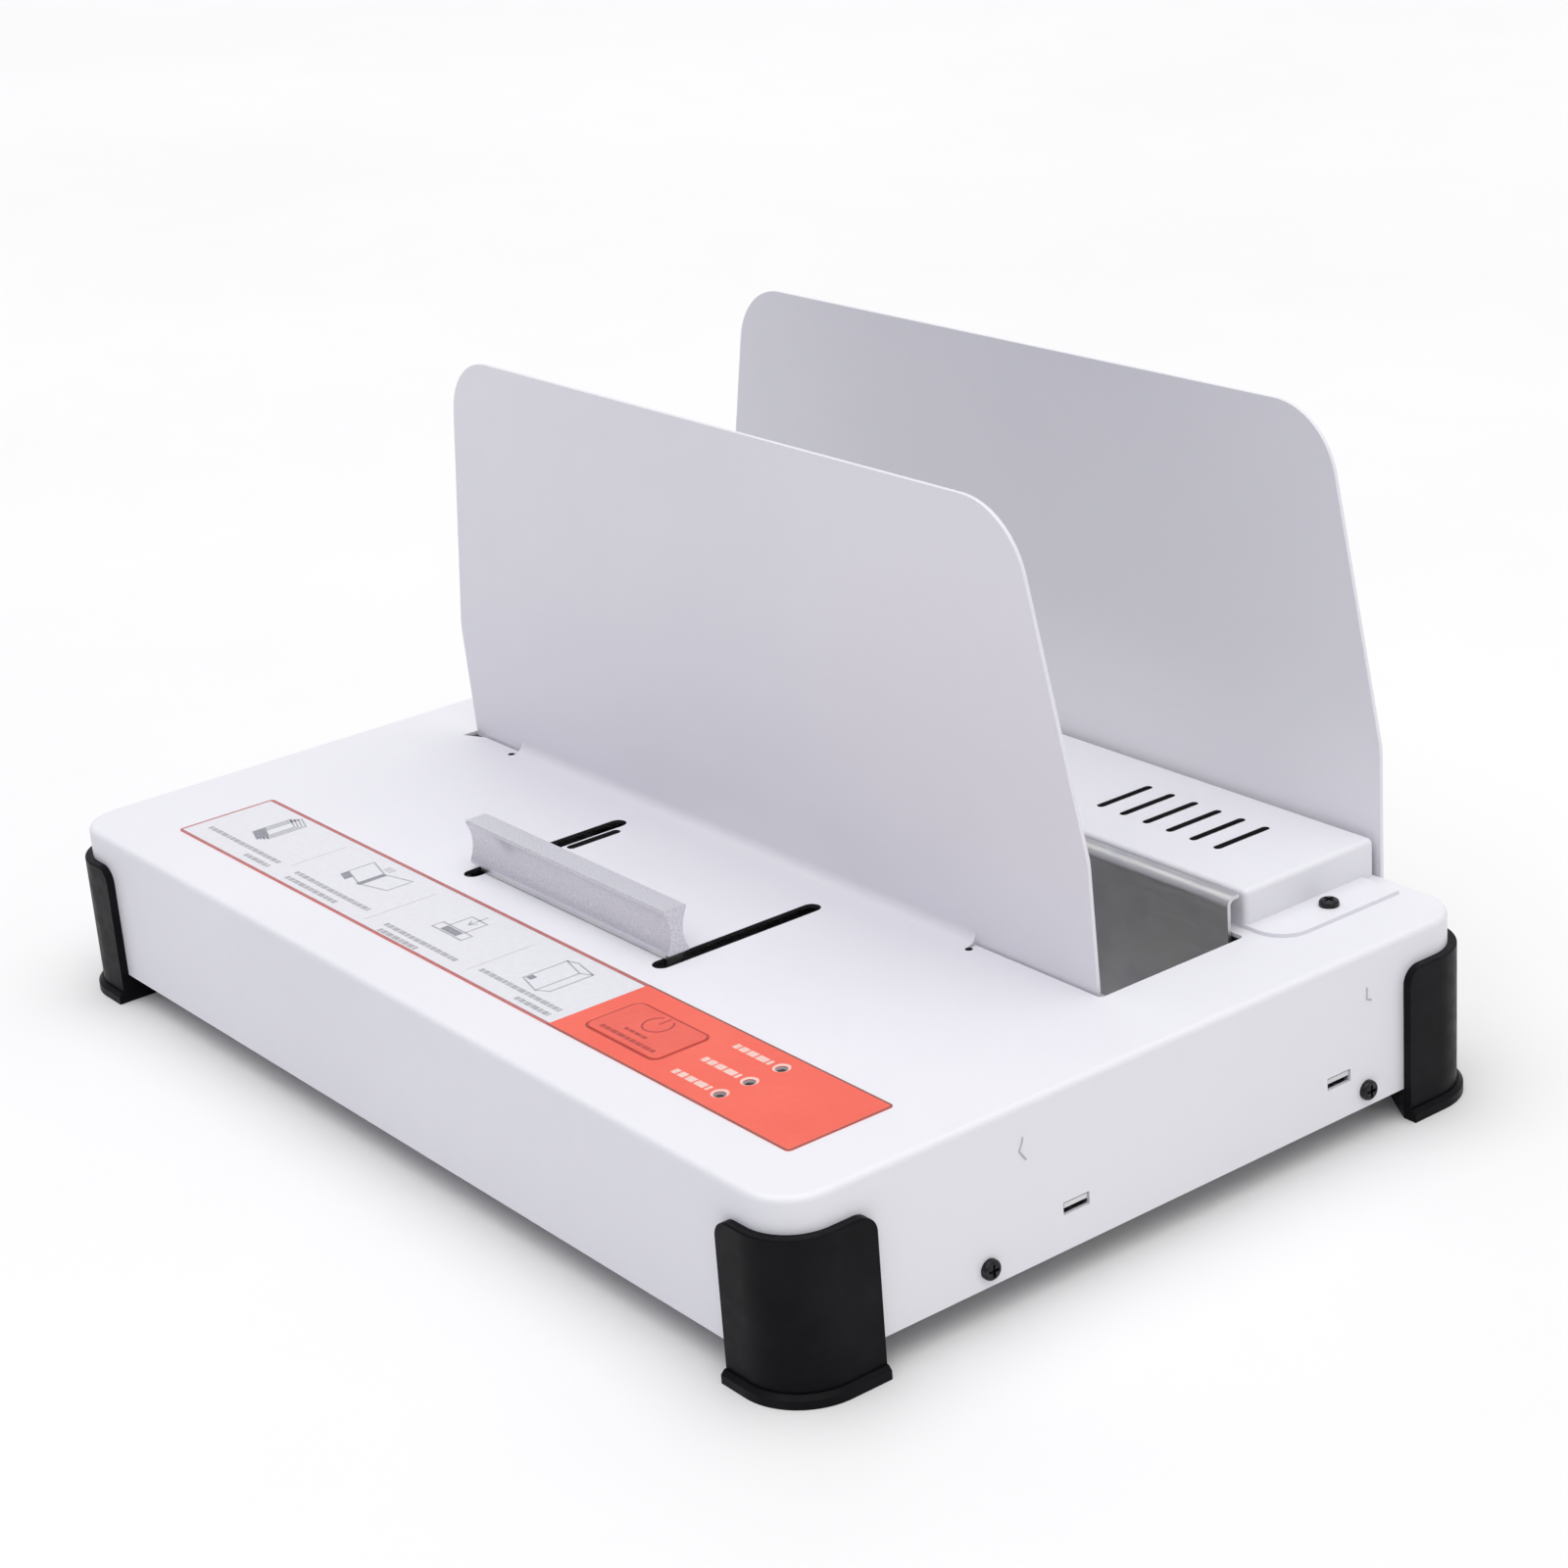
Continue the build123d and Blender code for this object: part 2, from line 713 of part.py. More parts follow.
def base_pan():
    radius = plan_radius - sheet - beside_gap
    pan = rounded_block(2 * pan_half_width, 2 * pan_half_depth, radius, cover_edge, pan_top)
    flange_top = pan_top + pan_flange_height
    side = pan_half_depth - radius - pan_flange_margin
    end = pan_half_width - radius - pan_flange_margin
    for way in (-1, 1):
        walls = sorted((way * pan_half_width, way * (pan_half_width - sheet)))
        pan += block(walls[0], walls[1], -side, side, pan_top, flange_top)
    pan += block(-end, end, -pan_half_depth, sheet - pan_half_depth, pan_top, flange_top)
    pan += block(rocker_x + pan_rear_flange_gap, end, pan_half_depth - sheet, pan_half_depth, pan_top,
                 flange_top)
    tab_half = hook_slot_length / 2 - hook_tab_gap
    tab_top = hook_height + hook_slot_width / 2 - hook_tab_gap
    window_half = hook_slot_length / 2 + beside_gap
    window_low = hook_height - hook_slot_width / 2 - beside_gap
    for y in hook_ys:
        tab = block(pan_half_width, half_width - sheet + hook_reach, y - tab_half, y + tab_half,
                    hook_height, tab_top)
        window = block(pan_half_width - sheet - overrun, half_width, y - window_half, y + window_half,
                       window_low, hook_height)
        pan += tab
        pan += mirrored(tab)
        pan -= window
        pan -= mirrored(window)
    for y in side_screw_ys:
        hole = rod_x_way(pan_half_width - sheet - overrun, half_width, y, side_screw_height,
                         small_shank_radius + thread_gap)
        pan -= hole
        pan -= mirrored(hole)
    for x, y in foot_screw_places() + pan_screw_places():
        pan -= rod_z(x, y, cover_edge - overrun, pan_top + overrun, small_shank_radius + thread_gap)
    span = (vent_count - 1) * vent_pitch
    vent_y = pan_vent_inset - half_depth
    for middle in (-pan_vent_x, pan_vent_x):
        for index in range(vent_count):
            x = middle - span / 2 + index * vent_pitch
            pan -= slot_cut(x, vent_y - vent_length / 2, vent_y + vent_length / 2, vent_width,
                            cover_edge - overrun, pan_top + overrun)
    return pan


def corner_foot():
    """The front right foot: two wings on the cover's corner and a sole under the pan."""
    top = body_top - foot_below_top
    wall = rounded_block(body_width + 2 * foot_wall, body_depth + 2 * foot_wall, plan_radius + foot_wall,
                         0, top)
    wall = fillet(wall.faces().sort_by(Axis.Z)[-1].edges(), foot_edge_round)
    lip = rounded_block(body_width + 2 * foot_lip, body_depth + 2 * foot_lip, plan_radius + foot_lip,
                        0, foot_lip_height)
    lip = chamfer(lip.faces().sort_by(Axis.Z)[-1].edges(), foot_lip_slope)
    body = wall + lip
    body -= rounded_block(body_width, body_depth, plan_radius, cover_edge, top + overrun)
    front_end = half_width - foot_front_wing
    side_end = foot_side_wing - half_depth
    reach = foot_side_wing + foot_lip + overrun
    ear = RectangleRounded(2 * reach, 2 * top, foot_ear_radius)
    front = Plane.XZ * (Pos(front_end + reach, 0) * ear)
    side = Plane.YZ * (Pos(side_end - reach, 0) * ear)
    body &= extrude(front, body_depth, both=True)
    body &= extrude(side, body_width, both=True)
    inner_edge = [
        (half_width, side_end + overrun),
        (half_width, side_end),
        (front_end, foot_sole_depth - half_depth),
        (front_end - overrun, foot_sole_depth - half_depth),
        (front_end - overrun, side_end + overrun),
    ]
    inner = Pos(0, 0, -overrun) * extrude(make_face(Polyline(*inner_edge, close=True)), cover_edge + overrun)
    body -= inner
    x, y = half_width - foot_screw_inset, foot_screw_inset - half_depth
    body -= rod_z(x, y, -overrun, cover_edge + overrun, small_shank_radius + hole_gap)
    body -= rod_z(x, y, -overrun, foot_head_depth, small_head_radius + hole_gap)
    return body


# Rear housing, rear guide plate, rear jaw

def rear_housing():
    shell = rounded_block(2 * housing_half_width, housing_rear - housing_front, housing_edge_radius,
                          body_top, housing_top, y=(housing_front + housing_rear) / 2)
    shell = fillet(shell.faces().sort_by(Axis.Z)[-1].edges(), housing_edge_radius)
    flange_length = flange_rear - housing_front
    flange = rounded_block(2 * (housing_half_width + flange_reach), 2 * flange_length, flange_corner_radius,
                           body_top, body_top + sheet, y=flange_rear)
    flange -= block(-half_width, half_width, flange_rear, flange_rear + 2 * flange_length,
                    body_top - overrun, body_top + overrun)
    shell += flange
    shell -= block(sheet - housing_half_width, housing_half_width - sheet, housing_front + sheet,
                   housing_rear - sheet, body_top - overrun, housing_top - sheet)
    for way in (-1, 1):
        for index in range(housing_vent_count):
            x = way * (housing_vent_x - index * housing_vent_pitch)
            shell -= slot_cut(x, housing_vent_front, housing_vent_rear, housing_vent_width,
                              housing_top - overrun, housing_top + overrun)
        shell -= rod_z(way * housing_screw_x, housing_screw_y, body_top - overrun, body_top + overrun,
                       small_shank_radius + hole_gap)
    return shell


def rear_guide_plate():
    """An upright sheet whose lower strip is screwed to the cover's rear face."""
    outline = plate_outline(rear_plate_low - body_top, rear_plate_height)
    plate = Pos(0, half_depth, body_top) * extrude(Plane.XZ * outline, -sheet)
    for x in rear_plate_screws():
        plate -= rod_y_way(x, half_depth - overrun, half_depth + overrun, rear_plate_screw_height,
                           small_shank_radius + hole_gap)
    return plate


def rear_jaw():
    top = housing_top - rear_jaw_top_drop
    centre_y = rear_jaw_y + rear_jaw_bend
    centre_z = top - rear_jaw_bend
    web = block(-rear_jaw_half_width, rear_jaw_half_width, rear_jaw_y, rear_jaw_y + sheet, pan_top, centre_z)
    bend = rod_x_way(-rear_jaw_half_width, rear_jaw_half_width, centre_y, centre_z, rear_jaw_bend)
    bend -= rod_x_way(-half_width, half_width, centre_y, centre_z, rear_jaw_bend - sheet)
    bend &= block(-rear_jaw_half_width, rear_jaw_half_width, rear_jaw_y, centre_y, centre_z, top)
    lap = block(-rear_jaw_half_width, rear_jaw_half_width, centre_y, rear_jaw_y + rear_jaw_lap,
                top - sheet, top)
    foot = block(-rear_jaw_half_width, rear_jaw_half_width, rear_jaw_y, rear_jaw_y + sheet + rear_jaw_foot,
                 pan_top, pan_top + sheet)
    jaw = web + bend + lap + foot
    jaw -= block(thermostat_x - lead_notch_width / 2, thermostat_x + lead_notch_width / 2,
                 rear_jaw_y - overrun, rear_jaw_y + sheet + rear_jaw_foot + overrun,
                 pan_top - overrun, pan_top + lead_notch_height)
    for x in (-rear_jaw_screw_x, rear_jaw_screw_x):
        jaw -= rod_z(x, rear_jaw_y + sheet + rear_jaw_foot / 2, pan_top - overrun, pan_top + overrun,
                     small_shank_radius + hole_gap)
    return jaw


# Sliding clamp

def front_jaw():
    web = block(-jaw_half_width, jaw_half_width, jaw_y, jaw_back, jaw_bottom, jaw_top)
    flange = block(-jaw_half_width, jaw_half_width, jaw_y - jaw_flange, jaw_y, jaw_top - inner_sheet, jaw_top)
    ear = block(jaw_half_width, block_outer_x, jaw_y, jaw_back, rod_height - ear_below_rod,
                rod_height + ear_above_rod)
    jaw = web + flange + ear + mirrored(ear)
    for way in (-1, 1):
        jaw -= rod_y_way(way * rod_x, jaw_y - overrun, jaw_back + overrun, rod_height, rod_radius + hole_gap)
        for z in block_screw_heights():
            jaw -= sunk_seat((way * block_screw_x, jaw_back, z), (0, 1, 0))
    for x in yoke_screw_places():
        jaw -= sunk_seat((x, jaw_back, yoke_screw_height()), (0, 1, 0))
    return jaw


def block_screw_heights():
    return (rod_height - block_screw_offset, rod_height + block_screw_offset)


def yoke_screw_places():
    return (-yoke_screw_x, yoke_screw_x)


def yoke_screw_height():
    return yoke_height - yoke_flange_height / 2


def clamp_yoke():
    plate_top = yoke_height + inner_sheet
    yoke = block(-yoke_half_width, yoke_half_width, handle_y - yoke_front_reach, jaw_y, yoke_height,
                 plate_top)
    yoke += block(-yoke_half_width, yoke_half_width, jaw_y - inner_sheet, jaw_y,
                  yoke_height - yoke_flange_height, yoke_height)
    lug_outer = bracket_half_width - inner_sheet
    lug_inner = lug_outer - inner_sheet
    for way in (-1, 1):
        walls = sorted((way * lug_inner, way * lug_outer))
        yoke += block(walls[0], walls[1], handle_y - lug_length / 2, handle_y + lug_length / 2,
                      plate_top, lug_top)
        yoke -= rod_x_way(walls[0] - overrun, walls[1] + overrun, handle_y, bracket_screw_height,
                          small_shank_radius + hole_gap)
    for x in yoke_screw_places():
        yoke -= rod_y_way(x, jaw_y - overrun, jaw_y + overrun, yoke_screw_height(),
                          small_shank_radius + thread_gap)
    return yoke


def handle_bracket():
    """A bridge under the handle with a blade down through each slide slot."""
    low = body_top + handle_slide_gap
    bridge = block(-bracket_half_width, bracket_half_width, handle_y - bracket_depth / 2,
                   handle_y + bracket_depth / 2, low, handle_base)
    for way in (-1, 1):
        walls = sorted((way * bracket_half_width, way * (bracket_half_width - inner_sheet)))
        bridge += block(walls[0], walls[1], handle_y - blade_length / 2, handle_y + blade_length / 2,
                        bracket_bottom, low)
        bridge -= rod_x_way(walls[0] - overrun, walls[1] + overrun, handle_y, bracket_screw_height,
                            small_shank_radius + thread_gap)
    for x in handle_screw_places():
        bridge -= sunk_seat((x, handle_y, low), (0, 0, -1))
    return bridge


def handle_screw_places():
    return (-handle_screw_x, 0, handle_screw_x)


def pull_handle():
    """An extruded bar with a hollow front and back, so that fingers can hold it."""
    half_base = handle_depth / 2
    half_waist = handle_waist / 2
    half_top = handle_top_depth / 2
    shoulder = handle_height - handle_crown
    middle = (handle_foot + shoulder) / 2
    right = ThreePointArc((half_base, handle_foot), (half_waist, middle), (half_top, shoulder))
    left = ThreePointArc((-half_top, shoulder), (-half_waist, middle), (-half_base, handle_foot))
    top = Polyline((half_top, shoulder), (half_top, handle_height), (-half_top, handle_height),
                   (-half_top, shoulder))
    foot = Polyline((-half_base, handle_foot), (-half_base, 0), (half_base, 0), (half_base, handle_foot))
    section = make_face([right, top, left, foot])
    section = fillet(section.vertices().group_by(Axis.Y)[-1], handle_edge)
    bar = extrude(Plane.YZ * section, handle_right - handle_left)
    bar = Pos(handle_left, handle_y, handle_base) * bar
    for x in handle_screw_places():
        bar -= rod_z(x, handle_y, handle_base - overrun, handle_base + handle_screw_length,
                     small_shank_radius + thread_gap)
    return bar


def slide_block():
    """The right-hand block, fastened to the front jaw and bored for the rod."""
    body = block(block_inner_x, block_outer_x, block_front, jaw_y, rod_height - block_half_height,
                 rod_height + block_half_height)
    body = fillet(body.edges().filter_by(Axis.Y), beside_gap * 3)
    body -= rod_y_way(rod_x, block_front - overrun, jaw_y + overrun, rod_height, rod_radius + bore_gap)
    for z in block_screw_heights():
        body -= rod_y_way(block_screw_x, jaw_y - small_shank_length - hole_gap, jaw_y + overrun, z,
                          small_shank_radius + thread_gap)
    return body


def guide_rod():
    return rod_y_way(rod_x, rod_front_y - rod_bracket_thickness / 2 - rod_overhang,
                     rod_rear_y + rod_bracket_thickness / 2 + rod_overhang, rod_height, rod_radius)


def rod_bracket(y, way):
    """An upright with a foot on the pan; way is -1 with the foot in front, 1 with it behind."""
    half = rod_bracket_thickness / 2
    ends = sorted((y + way * half, y + way * rod_bracket_foot))
    upright = block(rod_bracket_inner_x, rod_bracket_outer_x, y - half, y + half, pan_top,
                    rod_height + rod_bracket_rise)
    foot = block(rod_bracket_inner_x, rod_bracket_outer_x, ends[0], ends[1], pan_top,
                 pan_top + rod_bracket_thickness)
    bracket = upright + foot
    bracket -= rod_y_way(rod_x, y - overrun, y + overrun, rod_height, rod_radius + bore_gap)
    bracket -= rod_z(rod_x, y + way * rod_bracket_foot / 2, pan_top - overrun, pan_top + overrun,
                     small_shank_radius + hole_gap)
    return bracket


# Heater

def heater_screw_places():
    places = []
    for x in (-heater_screw_x, 0, heater_screw_x):
        for y in (heater_front + heater_screw_inset, heater_rear - heater_screw_inset):
            places.append((x, y))
    return places


def heating_plate():
    plate = block(-heater_half_width, heater_half_width, heater_front, heater_rear, heater_bottom, heater_top)
    for x, y in heater_screw_places():
        plate -= sunk_seat((x, y, heater_top), (0, 0, 1), heater_head_radius, heater_head_height,
                           heater_screw_radius, heater_plate)
    return plate


def heater_layer(inset, z0, z1):
    layer = block(inset - heater_half_width, pad_right - inset, heater_front + inset, heater_rear - inset,
                  z0, z1)
    for x, y in heater_screw_places():
        layer -= rod_z(x, y, z0 - overrun, z1 + overrun, heater_screw_radius + hole_gap)
    return layer


def insulating_spacer(x, y):
    spacer = rod_z(x, y, pan_top, clamp_bottom, spacer_radius)
    return spacer - rod_z(x, y, pan_top - overrun, clamp_bottom + overrun, heater_screw_radius + thread_gap)


def thermostat():
    """A bimetal disc in a can, under the heating plate, with two terminals towards the back."""
    low = heater_bottom - thermostat_height
    can = rod_z(thermostat_x, thermostat_y, low, heater_bottom, thermostat_radius)
    for x in thermostat_tab_xs():
        can += block(x - tab_width / 2, x + tab_width / 2, thermostat_y, thermostat_tab_end(),
                     low + thermostat_height / 2 - tab_thickness / 2,
                     low + thermostat_height / 2 + tab_thickness / 2)
    return can


def thermostat_tab_xs():
    return (thermostat_x - thermostat_radius / 2, thermostat_x + thermostat_radius / 2)


def thermostat_tab_end():
    return thermostat_y + thermostat_radius + tab_length / 2


def heat_shield():
    wall = block(-shield_half_width, shield_half_width, shield_y, shield_y + sheet, pan_top,
                 yoke_height - shield_drop)
    foot = block(-shield_half_width, shield_half_width, shield_y - shield_foot, shield_y, pan_top,
                 pan_top + sheet)
    shield = wall + foot
    for x in (-shield_screw_x, shield_screw_x):
        shield -= rod_z(x, shield_y - shield_foot / 2, pan_top - overrun, pan_top + overrun,
                        small_shank_radius + hole_gap)
    return shield


# Controls

def control_label():
    label = rounded_block(label_right - label_left, label_rear - label_front, label_radius, body_top,
                          label_top, x=(label_left + label_right) / 2, y=(label_front + label_rear) / 2)
    return label - label_cuts(body_top - overrun, label_top + overrun)


def power_key():
    """A cap flush with the label, a lip that keeps it under the cover, and a stem into its switch."""
    lip_top = ceiling - beside_gap
    cap = rounded_block(key_width, key_depth, key_radius, lip_top, label_top + key_rise, x=key_x, y=key_y)
    cap = fillet(cap.faces().sort_by(Axis.Z)[-1].edges(), key_rise)
    lip = rounded_block(key_width + 2 * key_lip, key_depth + 2 * key_lip, key_radius + key_lip,
                        lip_top - key_lip_thickness, lip_top, x=key_x, y=key_y)
    stem_low = board_top + key_switch_floor + key_travel + beside_gap
    stem = rod_z(key_x, key_y, stem_low, lip_top, key_stem_radius)
    return cap + lip + stem


def key_switch():
    body = rounded_block(key_switch_size, key_switch_size, key_rise * 3, board_top,
                         board_top + key_switch_height, x=key_x, y=key_y)
    return body - rod_z(key_x, key_y, board_top + key_switch_floor, ceiling, key_stem_radius + beside_gap)


def indicator_light(y):
    """A small lamp with a domed tip."""
    lamp = rod_z(light_x, y, board_top, board_top + light_height, light_radius)
    return fillet(lamp.edges().group_by(Axis.Z)[-1], light_radius * head_round_share)


def board_holes():
    xs = (board_left + board_hole_inset, board_right - board_hole_inset)
    ys = (board_front + board_hole_inset, board_rear - board_hole_inset)
    return [(x, y) for x in xs for y in ys]


def control_board():
    board = block(board_left, board_right, board_front, board_rear, board_bottom, board_top)
    for x, y in board_holes():
        board -= rod_z(x, y, board_bottom - overrun, board_top + overrun, small_shank_radius + hole_gap)
    return board


def control_chip():
    """The control circuit, between the power key and the lights."""
    x = (key_x + light_x) / 2
    y = (board_front + board_rear) / 2
    return block(x - chip_size / 2, x + chip_size / 2, y - chip_size / 2, y + chip_size / 2,
                 board_top, board_top + chip_height)


def buzzer():
    """The round buzzer under the board."""
    return rod_z(board_right - buzzer_right_inset, board_front + buzzer_front_inset,
                 board_bottom - buzzer_height, board_bottom, buzzer_radius)


def board_standoff(x, y):
    post = Pos(x, y, board_top) * extrude(RegularPolygon(standoff_radius, 6), ceiling - board_top)
    return post - rod_z(x, y, board_top - overrun, ceiling - sheet, small_shank_radius + thread_gap)


# Power electronics

def power_holes():
    xs = (power_left + power_hole_inset, power_right - power_hole_inset)
    ys = (power_front + power_hole_inset, power_rear - power_hole_inset)
    return [(x, y) for x in xs for y in ys]


def power_board():
    return block(power_left, power_right, power_front, power_rear, power_bottom, power_top)


def power_standoffs():
    return group([rod_z(x, y, pan_top, power_bottom, standoff_radius) for x, y in power_holes()])


def transformer():
    """A laminated core with a coil that stands out of it in front and behind."""
    core = block(core_x - core_width / 2, core_x + core_width / 2, board_part_y - core_depth * coil_share / 2,
                 board_part_y + core_depth * coil_share / 2, power_top, power_top + core_height)
    coil_half = core_width * coil_share / 2
    coil = block(core_x - coil_half, core_x + coil_half, board_part_y - core_depth / 2,
                 board_part_y + core_depth / 2, power_top + coil_bulge, power_top + core_height - coil_bulge)
    coil = fillet(coil.edges().filter_by(Axis.Z), coil_bulge)
    return core + coil


def relay():
    box = block(relay_x - relay_width / 2, relay_x + relay_width / 2, board_part_y - relay_depth / 2,
                board_part_y + relay_depth / 2, power_top, power_top + relay_height)
    return fillet(box.edges().group_by(Axis.Z)[-1], beside_gap * 2)


def capacitor():
    can = rod_z(can_x, board_part_y, power_top, power_top + can_height, can_radius)
    return fillet(can.edges().group_by(Axis.Z)[-1], beside_gap * 3)


def terminal_ys():
    pitch = terminal_depth / 3
    return (board_part_y - pitch, board_part_y, board_part_y + pitch)


def terminal_block():
    """Three clamps with wire windows on their left side and screw wells on top."""
    right = terminal_x + terminal_width / 2
    left = terminal_x - terminal_width / 2
    box = block(left, right, board_part_y - terminal_depth / 2, board_part_y + terminal_depth / 2,
                power_top, power_top + terminal_height)
    half = terminal_window / 2
    for y in terminal_ys():
        box -= block(left - overrun, left + terminal_window, y - half, y + half,
                     power_top + half, power_top + half + terminal_window)
        box -= rod_z(terminal_x, y, power_top + terminal_height - terminal_window,
                     power_top + terminal_height + overrun, half)
    return box


# Mains inlet, rocker switch

def panel_fitting(x, width, tall, depth, radius):
    """A snap-in housing: a flange on the rear face and a body through it."""
    flange = RectangleRounded(width + 2 * inlet_flange, tall + 2 * inlet_flange, radius)
    body = Rectangle(width, tall)
    face = Plane(origin=(x, half_depth, inlet_height), x_dir=(-1, 0, 0), z_dir=(0, 1, 0))
    return extrude(face * flange, inlet_flange_thickness) + extrude(face * body, -depth)


def power_inlet():
    body = panel_fitting(inlet_x, inlet_width, inlet_tall, inlet_depth, inlet_radius)
    face = Plane(origin=(inlet_x, socket_y, inlet_height), x_dir=(-1, 0, 0), z_dir=(0, 1, 0))
    body -= extrude(face * RectangleRounded(socket_width, socket_tall, socket_radius), socket_depth + overrun)
    back = half_depth - inlet_depth
    for x, z in pin_places():
        body -= block(x - pin_width / 2 - thread_gap, x + pin_width / 2 + thread_gap, back - overrun,
                      socket_y + overrun, z - pin_tall / 2 - thread_gap, z + pin_tall / 2 + thread_gap)
    return body


def pin_places():
    """Earth above, line and neutral below it on either side."""
    return ((inlet_x, inlet_height + pin_rise), (inlet_x - pin_spread, inlet_height - pin_rise),
            (inlet_x + pin_spread, inlet_height - pin_rise))


def inlet_pin(x, z):
    """A flat pin in the socket that ends in a tab behind it."""
    back = half_depth - inlet_depth
    tip = half_depth + inlet_flange_thickness - pin_set_back
    pin = block(x - pin_width / 2, x + pin_width / 2, back, tip, z - pin_tall / 2, z + pin_tall / 2)
    tab = block(x - tab_thickness / 2, x + tab_thickness / 2, back - tab_length, back,
                z - tab_width / 2, z + tab_width / 2)
    return pin + tab


def rocker_centre():
    return (half_depth - rocker_pivot_depth, inlet_height)


def rocker_housing():
    """A frame with a pocket for the rocker and two small bearing holes."""
    body = panel_fitting(rocker_x, rocker_housing_width, rocker_housing_tall, rocker_housing_depth,
                         inlet_radius / 2)
    half = rocker_width / 2 + rocker_side_gap
    y, z = rocker_centre()
    body -= block(rocker_x - half, rocker_x + half, y - rocker_pocket_depth, half_depth + overrun,
                  z - rocker_pocket_half, z + rocker_pocket_half)
    reach = rocker_width / 2 + rocker_pivot_reach + beside_gap
    body -= rod_x_way(rocker_x - reach, rocker_x + reach, y, z, rocker_pivot_radius + bore_gap)
    back = half_depth - rocker_housing_depth
    for z_tab in (-1, 1):
        middle = z + z_tab * rocker_inner_half
        body += block(rocker_x - tab_width / 2, rocker_x + tab_width / 2, back - tab_length, back,
                      middle - tab_thickness / 2, middle + tab_thickness / 2)
    return body


def switch_rocker():
    """The rocker, tilted to its off side, with a stub axle at each end."""
    y, z = rocker_centre()
    points = [
        (rocker_end_rise, rocker_half_height),
        (rocker_middle_rise, 0),
        (rocker_end_rise, -rocker_half_height),
        (-rocker_heel_depth, -rocker_heel),
        (-rocker_inner_depth, -rocker_inner_half),
        (-rocker_inner_depth, rocker_inner_half),
        (-rocker_heel_depth, rocker_heel),
    ]
    section = make_face(Polyline(*points, close=True))
    body = Pos(-rocker_width / 2, 0, 0) * extrude(Plane.YZ * section, rocker_width)
    reach = rocker_width / 2 + rocker_pivot_reach
    body += rod_x_way(-reach, reach, 0, 0, rocker_pivot_radius)
    return Pos(rocker_x, y, z) * Rot(-rocker_tilt, 0, 0) * body


def earth_stud():
    """A welded stud with a ring tag and a nut."""
    stud = rod_z(earth_x, earth_y, pan_top, pan_top + earth_height, earth_radius)
    tag = rod_z(earth_x, earth_y, pan_top, pan_top + earth_tag, nut_radius + earth_tag)
    nut = Pos(earth_x, earth_y, pan_top + earth_tag) * extrude(RegularPolygon(nut_radius, 6), nut_height)
    return stud + tag + nut


# Wiring

def mains_leads():
    """Earth to its stud, line through the switch, and neutral straight to the terminals."""
    pins = pin_places()
    back = half_depth - inlet_depth - tab_length
    run = tab_length
    earth_top = pan_top + earth_tag + nut_height + earth_height / 2
    terminal_left = terminal_x - terminal_width / 2
    wire_z = power_top + terminal_window
    ys = terminal_ys()
    switch_back = half_depth - rocker_housing_depth - tab_length
    upper = inlet_height + rocker_inner_half
    lower = inlet_height - rocker_inner_half
    earth_x_edge = earth_x + earth_radius
    earth = [
        (pins[0][0], back, pins[0][1]),
        (pins[0][0], back - run, pins[0][1]),
        (earth_x + 2 * run, earth_y - run, earth_top),
        (earth_x_edge + run, earth_y, earth_top - run / 4),
        (earth_x_edge, earth_y, earth_top - run / 4),
    ]
    line = [
        (pins[2][0], back, pins[2][1]),
        (pins[2][0], back - run, pins[2][1]),
        (rocker_x - run, switch_back - run * 1.5, upper),
        (rocker_x, switch_back - run, upper),
        (rocker_x, switch_back, upper),
    ]
    switched = [
        (rocker_x, switch_back, lower),
        (rocker_x, switch_back - run, lower),
        (rocker_x + 2 * run, ys[2] - run / 2, wire_z),
        (terminal_left - run, ys[2], wire_z),
        (terminal_left, ys[2], wire_z),
    ]
    neutral = [
        (pins[1][0], back, pins[1][1]),
        (pins[1][0], back - run, pins[1][1]),
        (pins[1][0] + run, back - 3 * run, wire_z),
        (terminal_left - 2 * run, ys[0] - run / 2, wire_z),
        (terminal_left - run / 2, ys[0], wire_z),
        (terminal_left, ys[0], wire_z),
    ]
    bend = lead_radius * 2
    return group([tube(route, bend, lead_radius) for route in (earth, line, switched, neutral)])


def heater_leads():
    """Two leads from the thermostat, through the notch in the rear jaw, to the power board."""
    z = heater_bottom - thermostat_height / 2
    leads = []
    for x, way in zip(thermostat_tab_xs(), (-1, 1)):
        end_y = board_part_y + way * lead_radius * 3
        route = [
            (x, thermostat_tab_end(), z),
            (x, rear_jaw_y + rear_jaw_foot, z),
            (x, end_y, z + power_standoff / 4),
            (power_right + tab_length, end_y, power_bottom + board_thickness / 2),
            (power_right, end_y, power_bottom + board_thickness / 2),
        ]
        leads.append(tube(route, lead_radius * 2, lead_radius))
    return group(leads)


def control_cable():
    """The cable from the power board along the right wall to the control board."""
    side_x = pan_half_width - sheet - control_cable_radius * 3
    low = pan_top + control_cable_radius * 2
    start_y = power_rear - control_cable_radius * 2
    turn = tab_length * 2
    end_x = board_right - turn
    end_y = board_rear - turn
    route = [
        (power_right, start_y, power_bottom + board_thickness / 2),
        (power_right + turn, start_y, power_bottom + board_thickness / 2),
        (side_x - turn, start_y, low),
        (side_x, start_y - turn, low),
        (side_x, end_y + 2 * turn, low),
        (side_x - turn, end_y + turn / 2, low + turn),
        (end_x, end_y, board_bottom - turn),
        (end_x, end_y, board_bottom),
    ]
    return tube(route, control_cable_radius * 2, control_cable_radius)


# Screws that hold it all together

def foot_screws():
    up = pan_top + nut_height - foot_head_depth
    screws = []
    for x, y in foot_screw_places():
        screws.append(screw((x, y, foot_head_depth), (0, 0, -1), up, recess=False))
    return group(screws)


